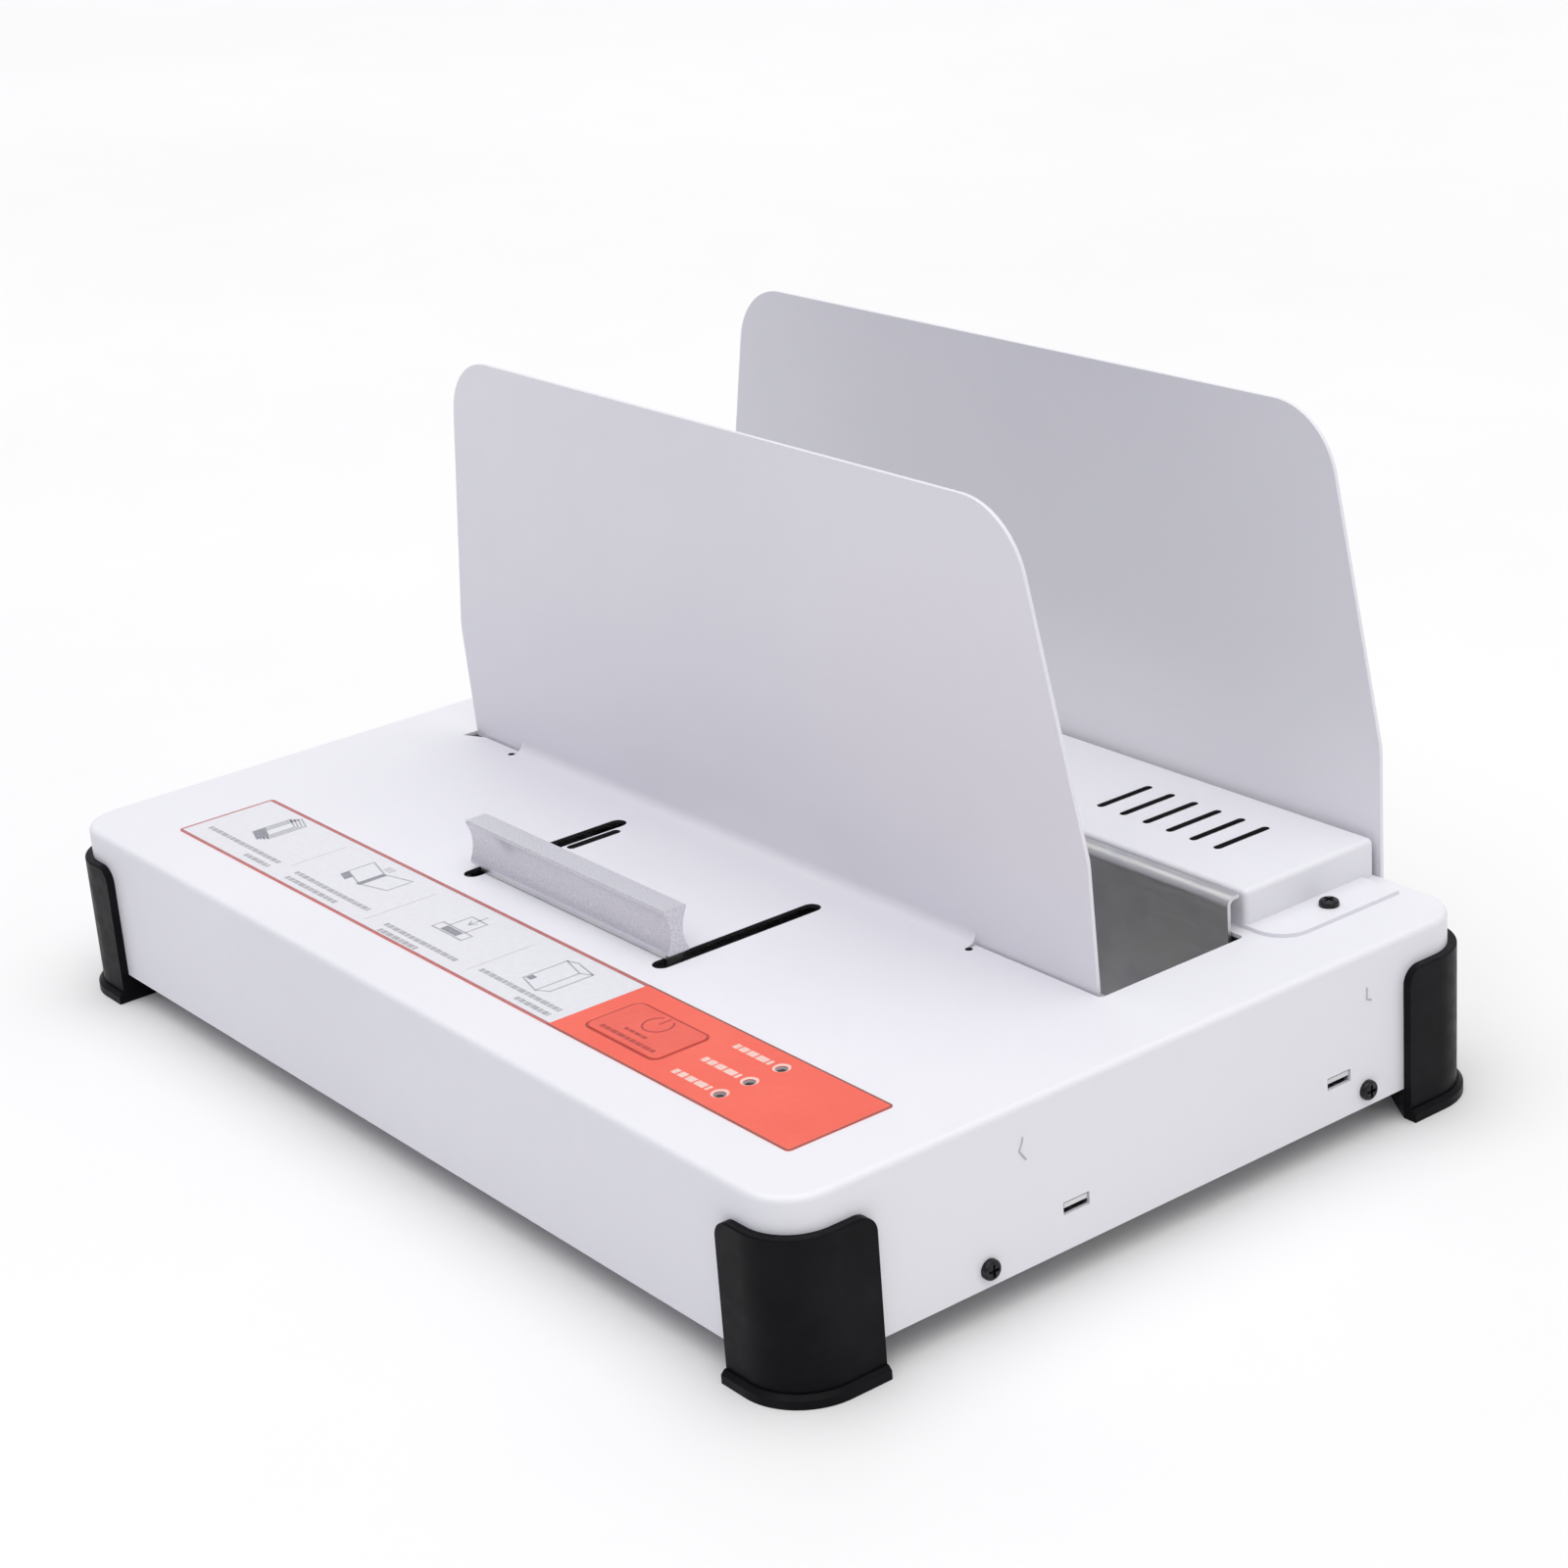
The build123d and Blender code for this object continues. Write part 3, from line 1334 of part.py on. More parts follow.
def cover_screws():
    screws = []
    for y in side_screw_ys:
        right = screw((half_width, y, side_screw_height), (1, 0, 0))
        screws += [right, mirrored(right)]
    return group(screws)


def housing_screws():
    places = (-housing_screw_x, housing_screw_x)
    return group([screw((x, housing_screw_y, body_top + sheet), (0, 0, 1)) for x in places])


def guide_plate_screws():
    face_y = half_depth + sheet
    return group([screw((x, face_y, rear_plate_screw_height), (0, 1, 0), head_height=sheet)
                  for x in rear_plate_screws()])


def pan_screws():
    """Screws up through the pan that hold the jaw, the shield and the rod brackets."""
    screws = []
    for x, y in pan_screw_places():
        screws.append(screw((x, y, cover_edge), (0, 0, -1), sheet + nut_height + sheet, recess=False))
    return group(screws)


def jaw_screws():
    """Flat-head screws from the jaw's face into the slide blocks and the yoke."""
    screws = []
    for x in yoke_screw_places():
        screws.append(sunk_screw((x, jaw_back, yoke_screw_height()), (0, 1, 0), small_shank_length / 2))
    for way in (-1, 1):
        for z in block_screw_heights():
            screws.append(sunk_screw((way * block_screw_x, jaw_back, z), (0, 1, 0), small_shank_length))
    return group(screws)


def bracket_screws():
    right = screw((bracket_half_width, handle_y, bracket_screw_height), (1, 0, 0),
                  2 * inner_sheet + nut_height, recess=False)
    return group([right, mirrored(right)])


def handle_screws():
    low = body_top + handle_slide_gap
    return group([sunk_screw((x, handle_y, low), (0, 0, -1), handle_screw_length - sheet)
                  for x in handle_screw_places()])


def heater_screws():
    length = heater_top - heater_head_height - pan_top - hole_gap
    return group([sunk_screw((x, y, heater_top), (0, 0, 1), length, heater_head_radius, heater_head_height,
                             heater_screw_radius) for x, y in heater_screw_places()])


def board_screws():
    length = ceiling - sheet - beside_gap - board_bottom
    return group([screw((x, y, board_bottom), (0, 0, -1), length, recess=False) for x, y in board_holes()])


def rod_brackets():
    right = [rod_bracket(rod_front_y, -1), rod_bracket(rod_rear_y, 1)]
    return group(right + [mirrored(bracket) for bracket in right])


def all_nodes():
    foot = corner_foot()
    left_foot = mirrored(foot)
    right_block = slide_block()
    rod = guide_rod()
    return {
        "top_cover": top_cover(),
        "base_pan": base_pan(),
        "foot_front_right": foot,
        "foot_front_left": left_foot,
        "foot_rear_right": mirror(foot, about=Plane.XZ),
        "foot_rear_left": mirror(left_foot, about=Plane.XZ),
        "foot_screws": foot_screws(),
        "cover_screws": cover_screws(),
        "rear_housing": rear_housing(),
        "housing_screws": housing_screws(),
        "rear_guide_plate": rear_guide_plate(),
        "guide_plate_screws": guide_plate_screws(),
        "rear_jaw": rear_jaw(),
        "pan_screws": pan_screws(),
        "front_jaw": front_jaw(),
        "jaw_screws": jaw_screws(),
        "clamp_yoke": clamp_yoke(),
        "handle_bracket": handle_bracket(),
        "bracket_screws": bracket_screws(),
        "pull_handle": pull_handle(),
        "handle_screws": handle_screws(),
        "slide_block_right": right_block,
        "slide_block_left": mirrored(right_block),
        "guide_rods": group([rod, mirrored(rod)]),
        "rod_brackets": rod_brackets(),
        "heating_plate": heating_plate(),
        "heater_pad": heater_layer(pad_inset, pad_bottom, heater_bottom),
        "heater_clamp": heater_layer(pad_inset / 2, clamp_bottom, pad_bottom),
        "heater_spacers": group([insulating_spacer(x, y) for x, y in heater_screw_places()]),
        "heater_screws": heater_screws(),
        "thermostat": thermostat(),
        "heat_shield": heat_shield(),
        "control_label": control_label(),
        "power_key": power_key(),
        "key_switch": key_switch(),
        "indicator_lights": group([indicator_light(y) for y in light_ys]),
        "control_board": control_board(),
        "control_chip": control_chip(),
        "buzzer": buzzer(),
        "board_standoffs": group([board_standoff(x, y) for x, y in board_holes()]),
        "board_screws": board_screws(),
        "power_board": power_board(),
        "power_standoffs": power_standoffs(),
        "transformer": transformer(),
        "relay": relay(),
        "capacitor": capacitor(),
        "terminal_block": terminal_block(),
        "power_inlet": power_inlet(),
        "inlet_pins": group([inlet_pin(x, z) for x, z in pin_places()]),
        "rocker_housing": rocker_housing(),
        "switch_rocker": switch_rocker(),
        "earth_stud": earth_stud(),
        "mains_leads": mains_leads(),
        "heater_leads": heater_leads(),
        "control_cable": control_cable(),
    }


os.makedirs("parts", exist_ok=True)
for name, part in all_nodes().items():
    export_step(part, "parts/" + name + ".step")
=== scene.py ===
"""Thermal binding machine: surfaces, printed label, pressed marks, floor, light and camera, in metres."""

import math

import bmesh
import bpy
from mathutils import Matrix, Vector


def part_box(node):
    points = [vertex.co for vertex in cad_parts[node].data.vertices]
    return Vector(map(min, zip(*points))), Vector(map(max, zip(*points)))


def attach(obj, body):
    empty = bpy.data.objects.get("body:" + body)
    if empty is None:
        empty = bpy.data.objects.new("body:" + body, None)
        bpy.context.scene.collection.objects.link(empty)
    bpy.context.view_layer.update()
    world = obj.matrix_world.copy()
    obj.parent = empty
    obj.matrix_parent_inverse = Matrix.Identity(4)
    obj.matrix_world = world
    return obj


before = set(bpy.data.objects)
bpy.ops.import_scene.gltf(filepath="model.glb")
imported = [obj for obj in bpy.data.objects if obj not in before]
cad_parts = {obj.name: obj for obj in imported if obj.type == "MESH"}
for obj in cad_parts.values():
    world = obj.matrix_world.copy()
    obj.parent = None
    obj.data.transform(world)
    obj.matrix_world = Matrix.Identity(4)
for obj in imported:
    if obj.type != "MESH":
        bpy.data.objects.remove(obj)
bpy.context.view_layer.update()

mm = 0.001

# Camera: where it stands, which way it looks, and how far it is rolled about its own axis.
camera_place = Vector((0.7747, -0.5471, 0.4473))
camera_turn = math.radians(53.49)
camera_rise = math.radians(21.09)
camera_roll = math.radians(-4.41)
camera_lens = 75.85
camera_sensor = 36.0


def place_camera():
    """Makes the camera that sees the machine from its right front corner, from slightly above."""
    back = Vector((
        math.sin(camera_turn) * math.cos(camera_rise),
        -math.cos(camera_turn) * math.cos(camera_rise),
        math.sin(camera_rise),
    ))
    right = (-back).cross(Vector((0, 0, 1))).normalized()
    up = back.cross(right)
    rolled_right = math.cos(camera_roll) * right + math.sin(camera_roll) * up
    rolled_up = math.cos(camera_roll) * up - math.sin(camera_roll) * right
    data = bpy.data.cameras.new("camera")
    data.lens = camera_lens
    data.sensor_width = camera_sensor
    camera = bpy.data.objects.new("camera", data)
    turn = Matrix((rolled_right, rolled_up, back)).transposed().to_4x4()
    camera.matrix_world = Matrix.Translation(camera_place) @ turn
    bpy.context.collection.objects.link(camera)
    bpy.context.scene.camera = camera


place_camera()


# Surfaces. Every texture is laid in the object's own coordinates, so it stays with a piece that moves.
class Surface:
    """One material: a shader and the textures that feed it."""

    def __init__(self, name, metallic=0.0, **sockets):
        self.material = bpy.data.materials.new(name)
        self.material.use_nodes = True
        self.tree = self.material.node_tree
        self.shader = self.tree.nodes["Principled BSDF"]
        self.shader.inputs["Metallic"].default_value = metallic
        for socket, value in sockets.items():
            self.shader.inputs[socket.replace("_", " ")].default_value = value
        self.place = self.node("ShaderNodeTexCoord").outputs["Object"]
        self.normal = None

    def node(self, kind, **settings):
        made = self.tree.nodes.new(kind)
        for setting, value in settings.items():
            setattr(made, setting, value)
        return made

    def link(self, source, socket):
        self.tree.links.new(source, socket)

    def stretched(self, stretch):
        """The object's coordinates, scaled along each axis."""
        mapping = self.node("ShaderNodeMapping")
        mapping.inputs["Scale"].default_value = stretch
        self.link(self.place, mapping.inputs["Vector"])
        return mapping.outputs["Vector"]

    def noise(self, size, detail=2.0, stretch=(1, 1, 1)):
        """Soft noise whose blots are about as wide as the size given."""
        texture = self.node("ShaderNodeTexNoise")
        texture.inputs["Scale"].default_value = 1 / size
        texture.inputs["Detail"].default_value = detail
        self.link(self.stretched(stretch), texture.inputs["Vector"])
        return texture.outputs["Fac"]

    def cells(self, size):
        """Rounded cells, each about as wide as the size given."""
        texture = self.node("ShaderNodeTexVoronoi")
        texture.inputs["Scale"].default_value = 1 / size
        self.link(self.place, texture.inputs["Vector"])
        return texture.outputs["Distance"]

    def bands(self, pitch, axis, bend=0.0):
        """Straight or slightly wavering bands across one axis."""
        texture = self.node("ShaderNodeTexWave", wave_type="BANDS", bands_direction=axis)
        texture.inputs["Scale"].default_value = math.pi / (10 * pitch)
        texture.inputs["Distortion"].default_value = bend
        texture.inputs["Detail"].default_value = 2.0
        self.link(self.place, texture.inputs["Vector"])
        return texture.outputs["Fac"]

    def blend(self, value, low, high, colours):
        """A colour that goes through the colours given as the value goes from low to high."""
        ramp = self.node("ShaderNodeValToRGB")
        steps = ramp.color_ramp.elements
        while len(steps) < len(colours):
            steps.new(1.0)
        for index, colour in enumerate(colours):
            steps[index].position = low + (high - low) * index / (len(colours) - 1)
            steps[index].color = (*colour, 1.0)
        self.link(value, ramp.inputs["Fac"])
        return ramp.outputs["Color"]

    def spread(self, value, low, high, from_low=0.3, from_high=0.7):
        """The value mapped from the range that the noise fills to the range wanted."""
        ranger = self.node("ShaderNodeMapRange")
        ranger.inputs["From Min"].default_value = from_low
        ranger.inputs["From Max"].default_value = from_high
        ranger.inputs["To Min"].default_value = low
        ranger.inputs["To Max"].default_value = high
        self.link(value, ranger.inputs["Value"])
        return ranger.outputs["Result"]

    def colour(self, source):
        self.link(source, self.shader.inputs["Base Color"])

    def roughness(self, source):
        self.link(source, self.shader.inputs["Roughness"])

    def bump(self, height, depth, strength=1.0):
        """Adds one more layer of relief, of the depth given."""
        relief = self.node("ShaderNodeBump")
        relief.inputs["Distance"].default_value = depth
        relief.inputs["Strength"].default_value = strength
        self.link(height, relief.inputs["Height"])
        if self.normal:
            self.link(self.normal, relief.inputs["Normal"])
        self.normal = relief.outputs["Normal"]
        self.link(self.normal, self.shader.inputs["Normal"])


def powder_coat():
    """White powder paint with a faint lavender cast, orange peel and a fine grit."""
    paint = Surface("white_powder_coat", Coat_Weight=0.06, Coat_Roughness=0.3)
    cast = paint.noise(140 * mm, detail=3.0)
    paint.colour(paint.blend(cast, 0.35, 0.65, [(0.745, 0.742, 0.785), (0.77, 0.767, 0.805)]))
    peel = paint.noise(1.6 * mm, detail=1.0)
    grit = paint.noise(0.35 * mm, detail=2.0)
    paint.roughness(paint.spread(paint.noise(9 * mm, detail=4.0), 0.36, 0.5))
    paint.bump(peel, 0.02 * mm, 0.5)
    paint.bump(grit, 0.012 * mm, 0.5)
    return paint.material


def zinc_plate():
    """Zinc-plated steel: pale, a little blue and yellow, with rolling marks."""
    zinc = Surface("zinc_plated_steel", metallic=1.0)
    bloom = zinc.noise(14 * mm, detail=4.0)
    zinc.colour(zinc.blend(bloom, 0.3, 0.7, [(0.60, 0.61, 0.64), (0.67, 0.67, 0.68), (0.70, 0.69, 0.67)]))
    rolling = zinc.noise(0.9 * mm, detail=3.0, stretch=(0.06, 1, 1))
    zinc.roughness(zinc.spread(rolling, 0.28, 0.46))
    zinc.bump(rolling, 0.01 * mm, 0.5)
    return zinc.material


def black_oxide():
    """Blackened steel of the screws, with lighter rubbed patches."""
    steel = Surface("black_oxide_steel", metallic=0.6)
    rubbed = steel.noise(1.1 * mm, detail=3.0)
    steel.colour(steel.blend(rubbed, 0.45, 0.72, [(0.012, 0.012, 0.014), (0.05, 0.05, 0.055)]))
    steel.roughness(steel.spread(rubbed, 0.34, 0.5))
    steel.bump(steel.noise(0.3 * mm), 0.01 * mm, 0.6)
    return steel.material


def moulded_rubber():
    """Black rubber of the feet, with a soft sheen and a fine moulded stipple."""
    rubber = Surface("black_foot_rubber", Specular_IOR_Level=0.08)
    dust = rubber.noise(18 * mm, detail=5.0)
    rubber.colour(rubber.blend(dust, 0.4, 0.75, [(0.004, 0.004, 0.005), (0.009, 0.009, 0.011)]))
    rubber.roughness(rubber.spread(rubber.noise(4 * mm, detail=4.0), 0.34, 0.48))
    rubber.bump(rubber.noise(0.5 * mm, detail=2.0), 0.02 * mm, 0.5)
    return rubber.material


def blasted_aluminium():
    """Natural aluminium section, blasted to an even grain."""
    metal = Surface("blasted_aluminium", metallic=0.5)
    grain = metal.noise(0.45 * mm, detail=3.0)
    metal.colour(metal.blend(grain, 0.3, 0.7, [(0.56, 0.56, 0.60), (0.78, 0.78, 0.82)]))
    metal.roughness(metal.spread(metal.noise(0.8 * mm, detail=3.0), 0.28, 0.42))
    metal.bump(grain, 0.03 * mm, 0.6)
    return metal.material


def milled_aluminium():
    """Heating plate: milled along its length and slightly browned by glue."""
    metal = Surface("milled_aluminium", metallic=1.0)
    cut = metal.bands(0.7 * mm, "Y", bend=0.6)
    stain = metal.noise(16 * mm, detail=4.0)
    tint = metal.blend(stain, 0.35, 0.75, [(0.66, 0.66, 0.67), (0.60, 0.57, 0.52)])
    metal.colour(tint)
    metal.roughness(metal.spread(stain, 0.32, 0.44))
    metal.bump(cut, 0.008 * mm, 0.6)
    return metal.material


def printed_film():
    """Red-orange print on a satin film, with a faint stipple."""
    film = Surface("printed_film", Specular_IOR_Level=0.4)
    ink = film.noise(30 * mm, detail=4.0)
    film.colour(film.blend(ink, 0.35, 0.7, [(0.80, 0.12, 0.078), (0.84, 0.138, 0.09)]))
    film.roughness(film.spread(film.noise(3 * mm, detail=3.0), 0.4, 0.5))
    film.bump(film.noise(0.25 * mm), 0.006 * mm, 0.5)
    return film.material


def key_film():
    """The key's own cap, of the label's red-orange."""
    cap = Surface("key_cap", Specular_IOR_Level=0.4)
    ink = cap.noise(12 * mm, detail=3.0)
    cap.colour(cap.blend(ink, 0.35, 0.7, [(0.75, 0.108, 0.074), (0.79, 0.125, 0.083)]))
    cap.roughness(cap.spread(cap.noise(2 * mm), 0.34, 0.44))
    cap.bump(cap.noise(0.3 * mm), 0.006 * mm, 0.5)
    return cap.material


def lamp_lens():
    """Dark clear lens of an indicator."""
    lens = Surface("lamp_lens", Coat_Weight=0.12, Coat_Roughness=0.1, Specular_IOR_Level=0.15)
    lens.colour(lens.blend(lens.cells(0.6 * mm), 0.1, 0.8, [(0.012, 0.008, 0.008), (0.05, 0.03, 0.03)]))
    lens.roughness(lens.spread(lens.noise(0.6 * mm), 0.12, 0.25))
    return lens.material


def solder_mask():
    """Green board lacquer over copper tracks."""
    board = Surface("green_solder_mask", Coat_Weight=0.4, Coat_Roughness=0.15)
    tracks = board.bands(2.6 * mm, "X", bend=1.6)
    board.colour(board.blend(tracks, 0.55, 0.7, [(0.012, 0.11, 0.035), (0.025, 0.2, 0.065)]))
    board.roughness(board.spread(board.noise(5 * mm), 0.22, 0.34))
    board.bump(tracks, 0.03 * mm, 0.5)
    return board.material


def moulded(name, dark, light, rough_low, rough_high, stipple=0.4 * mm, depth=0.015 * mm, **sockets):
    """A moulded plastic: faint clouds of colour, uneven gloss and a fine stipple."""
    plastic = Surface(name, **sockets)
    cloud = plastic.noise(9 * mm, detail=4.0)
    plastic.colour(plastic.blend(cloud, 0.35, 0.7, [dark, light]))
    plastic.roughness(plastic.spread(plastic.noise(2.5 * mm, detail=3.0), rough_low, rough_high))
    plastic.bump(plastic.noise(stipple), depth, 0.6)
    return plastic.material


def heater_silicone():
    """Orange silicone pad, with the wandering line of the element under it."""
    pad = Surface("heater_silicone")
    element = pad.bands(4 * mm, "X", bend=2.5)
    pad.colour(pad.blend(element, 0.4, 0.6, [(0.50, 0.14, 0.04), (0.62, 0.21, 0.06)]))
    pad.roughness(pad.spread(pad.noise(3 * mm), 0.5, 0.65))
    pad.bump(element, 0.1 * mm, 0.5)
    return pad.material


def bright_brass():
    """Turned brass, dulled in patches."""
    brass = Surface("turned_brass", metallic=1.0)
    dull = brass.noise(2.5 * mm, detail=4.0)
    brass.colour(brass.blend(dull, 0.35, 0.7, [(0.62, 0.43, 0.16), (0.80, 0.60, 0.27)]))
    turning = brass.bands(0.35 * mm, "Z")
    brass.roughness(brass.spread(dull, 0.22, 0.42))
    brass.bump(turning, 0.01 * mm, 0.6)
    return brass.material


def laminated_core():
    """Stacked, varnished iron sheets of the transformer."""
    core = Surface("laminated_core", metallic=0.7)
    sheets = core.bands(1.0 * mm, "Y")
    core.colour(core.blend(sheets, 0.3, 0.8, [(0.05, 0.045, 0.04), (0.20, 0.19, 0.18)]))
    core.roughness(core.spread(core.noise(4 * mm), 0.4, 0.6))
    core.bump(sheets, 0.08 * mm, 0.6)
    return core.material


finishes = {
    "white_paint": powder_coat(),
    "plated_steel": zinc_plate(),
    "black_steel": black_oxide(),
    "foot_rubber": moulded_rubber(),
    "handle_aluminium": blasted_aluminium(),
    "plate_aluminium": milled_aluminium(),
    "label_film": printed_film(),
    "key_plastic": key_film(),
    "lamp_plastic": lamp_lens(),
    "board_laminate": solder_mask(),
    "black_plastic": moulded("black_plastic_case", (0.018, 0.018, 0.019), (0.03, 0.03, 0.032), 0.4, 0.55),
    "blue_plastic": moulded("blue_sleeve", (0.03, 0.07, 0.27), (0.045, 0.10, 0.34), 0.22, 0.34),
    "green_plastic": moulded("green_terminal", (0.03, 0.22, 0.08), (0.05, 0.30, 0.11), 0.38, 0.5),
    "pad_silicone": heater_silicone(),
    "ceramic_white": moulded("white_ceramic", (0.74, 0.73, 0.69), (0.82, 0.81, 0.77), 0.5, 0.7, 0.7 * mm),
    "bearing_plastic": moulded("acetal_bearing", (0.70, 0.68, 0.61), (0.77, 0.76, 0.70), 0.3, 0.42),
    "brass": bright_brass(),
    "core_steel": laminated_core(),
    "wire_cover": moulded("vinyl_wire", (0.02, 0.02, 0.025), (0.045, 0.045, 0.055), 0.3, 0.42),
}

for cad_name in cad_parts:
    cad_piece = bpy.data.objects[cad_name]
    for slot_index, plain in enumerate(cad_piece.data.materials):
        cad_piece.data.materials[slot_index] = finishes[plain.name]


# Prints on the label: thin flat shapes, drawn in millimetres on the label's plane.
ink_depth = 0.02
label_low, label_high = (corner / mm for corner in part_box("control_label"))
key_low, key_high = (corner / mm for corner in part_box("power_key"))


def ink(name, dark, light, roughness=0.5):
    """Flat ink of one colour, a little uneven."""
    print_ink = Surface(name)
    print_ink.colour(print_ink.blend(print_ink.noise(2 * mm, detail=3.0), 0.35, 0.7, [dark, light]))
    print_ink.roughness(print_ink.spread(print_ink.noise(1 * mm), roughness - 0.06, roughness + 0.06))
    return print_ink.material


panel_ink = ink("panel_print", (0.69, 0.69, 0.725), (0.72, 0.72, 0.755), 0.42)
frame_ink = ink("frame_print", (0.40, 0.12, 0.12), (0.47, 0.165, 0.16), 0.42)
edge_ink = ink("edge_print", (0.18, 0.07, 0.06), (0.24, 0.095, 0.08), 0.42)
grey_ink = ink("grey_print", (0.36, 0.36, 0.39), (0.44, 0.44, 0.47))
spot_ink = ink("spot_print", (0.23, 0.23, 0.27), (0.29, 0.29, 0.33))
# Grey for the two pressed marks on the side: painted shade of the pressed edges, not print.
painted_shade_ink = ink("painted_shade_of_pressed_edges", (0.44, 0.44, 0.47), (0.52, 0.52, 0.55))
faint_ink = ink("faint_print", (0.50, 0.50, 0.53), (0.56, 0.56, 0.59))
deep_ink = ink("deep_red_print", (0.40, 0.045, 0.035), (0.47, 0.06, 0.045))
pale_ink = ink("pale_print", (0.78, 0.50, 0.44), (0.82, 0.60, 0.54))


def rectangle(left, right, front, back):
    return [(left, front), (right, front), (right, back), (left, back)]


def rounded(left, right, front, back, radius, steps=6):
    """Outline of a rectangle with round corners."""
    corners = [
        (right - radius, front + radius, -90),
        (right - radius, back - radius, 0),
        (left + radius, back - radius, 90),
        (left + radius, front + radius, 180),
    ]
    points = []
    for x, y, first in corners:
        for step in range(steps + 1):
            angle = math.radians(first + 90 * step / steps)
            points.append((x + radius * math.cos(angle), y + radius * math.sin(angle)))
    return points


def arc(x, y, radius, first, last, steps=36):
    """Points on an arc, by its angles in degrees."""
    angles = [math.radians(first + (last - first) * step / steps) for step in range(steps + 1)]
    return [(x + radius * math.cos(angle), y + radius * math.sin(angle)) for angle in angles]


def line(points, width, closed=False):
    """A drawn line: one outline for each run between two points, with mitred joints."""
    count = len(points)
    sides = []
    for index, point in enumerate(points):
        before = points[index - 1] if closed or index else point
        after = points[(index + 1) % count] if closed or index < count - 1 else point
        run_in = Vector(point) - Vector(before)
        run_out = Vector(after) - Vector(point)
        run_in = (run_in if run_in.length else run_out).normalized()
        run_out = (run_out if run_out.length else run_in).normalized()
        along = (run_in + run_out).normalized()
        across = Vector((-along.y, along.x))
        reach = width / 2 / max(across.dot(Vector((-run_in.y, run_in.x))), 0.5)
        sides.append((Vector(point) + across * reach, Vector(point) - across * reach))
    runs = []
    for index in range(count if closed else count - 1):
        here = sides[index]
        there = sides[(index + 1) % count]
        runs.append([here[1], there[1], there[0], here[0]])
    return runs


def words(left, right, middle, height, pitch=2.2, gap=0.45):
    """A row of plain small blocks of uneven length, as far as print can be read from here."""
    blocks = []
    x = left
    index = 0
    while x < right - gap:
        length = pitch * (0.75 + 0.25 * ((index * 5) % 4))
        end = min(x + length, right)
        blocks.append(rectangle(x, end, middle - height / 2, middle + height / 2))
        x = end + gap
        index += 1
    return blocks


def print_on(name, outlines, height, material, body="machine"):
    """Makes one piece of all the outlines, lying on the height given, in millimetres."""
    mesh = bpy.data.meshes.new(name)
    shape = bmesh.new()
    for outline in outlines:
        low = [shape.verts.new((x * mm, y * mm, height * mm)) for x, y in outline]
        high = [shape.verts.new((x * mm, y * mm, (height + ink_depth) * mm)) for x, y in outline]
        shape.faces.new(high)
        shape.faces.new(low[::-1])
        for index in range(len(low)):
            after = (index + 1) % len(low)
            shape.faces.new((low[index], low[after], high[after], high[index]))
    bmesh.ops.recalc_face_normals(shape, faces=shape.faces)
    shape.to_mesh(mesh)
    shape.free()
    mesh.materials.append(material)
    piece = bpy.data.objects.new(name, mesh)
    bpy.context.collection.objects.link(piece)
    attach(piece, body)


# The pale panel with the four steps of binding takes the left two thirds of the label.
panel_right = 59.3
frame_line = 1.5
front_line = 1.0
edge_line = 0.6
panel_left = label_low.x + front_line
panel_front = label_low.y + front_line
panel_back = label_high.y - frame_line
face = label_high.z
second = face + ink_depth
label_corner = 1.5
corner_steps = 8
left_corners = label_low.x + label_corner
right_corners = label_high.x - label_corner
front_corners = label_low.y + label_corner
back_corners = label_high.y - label_corner
frame_outline = arc(left_corners, back_corners, label_corner, 90, 180, corner_steps)
frame_outline += arc(left_corners, front_corners, label_corner, 180, 270, corner_steps)
frame_outline += [(panel_right, label_low.y), (panel_right, label_high.y)]
print_on("label_frame_print", [frame_outline], face, frame_ink)
panel_outline = rectangle(panel_left, panel_right, panel_front, panel_back)
print_on("label_panel_print", [panel_outline], second, panel_ink)

edge_corner = label_corner - edge_line / 2
edge_path = [(panel_right, label_low.y + edge_line / 2)]
edge_path += arc(right_corners, front_corners, edge_corner, -90, 0, corner_steps)
edge_path += arc(right_corners, back_corners, edge_corner, 0, 90, corner_steps)
edge_path.append((panel_right, label_high.y - edge_line / 2))
print_on("label_edge_print", line(edge_path, edge_line), face, edge_ink)

third = second + ink_depth
fourth = third + ink_depth

# Lines between the four fields: place, front end and back end of each.
divider_line = 0.45
divider_places = [(-99, -96, -76), (-44, -102.8, -76.5), (11, -101.5, -77.3)]
dividers = []
for place, front, back in divider_places:
    dividers += line([(place, front), (place, back)], divider_line)
print_on("label_dividers_print", dividers, third, faint_ink)

# Two rows of print in each of the four fields: left end, right end and middle of each row.
caption_rows = [
    (-149, -104, -97.7),
    (-119, -104, -101.6),
    (-93, -49, -98.0),
    (-92, -62, -102.0),
    (-36, 4, -100.0),
    (-34, -13, -103.6),
    (14, 55, -98.4),
    (38, 55, -102.2),
]
caption_height = 1.9
captions = []
for left, right, middle in caption_rows:
    captions += words(left, right, middle, caption_height)
print_on("label_captions_print", captions, third, grey_ink)


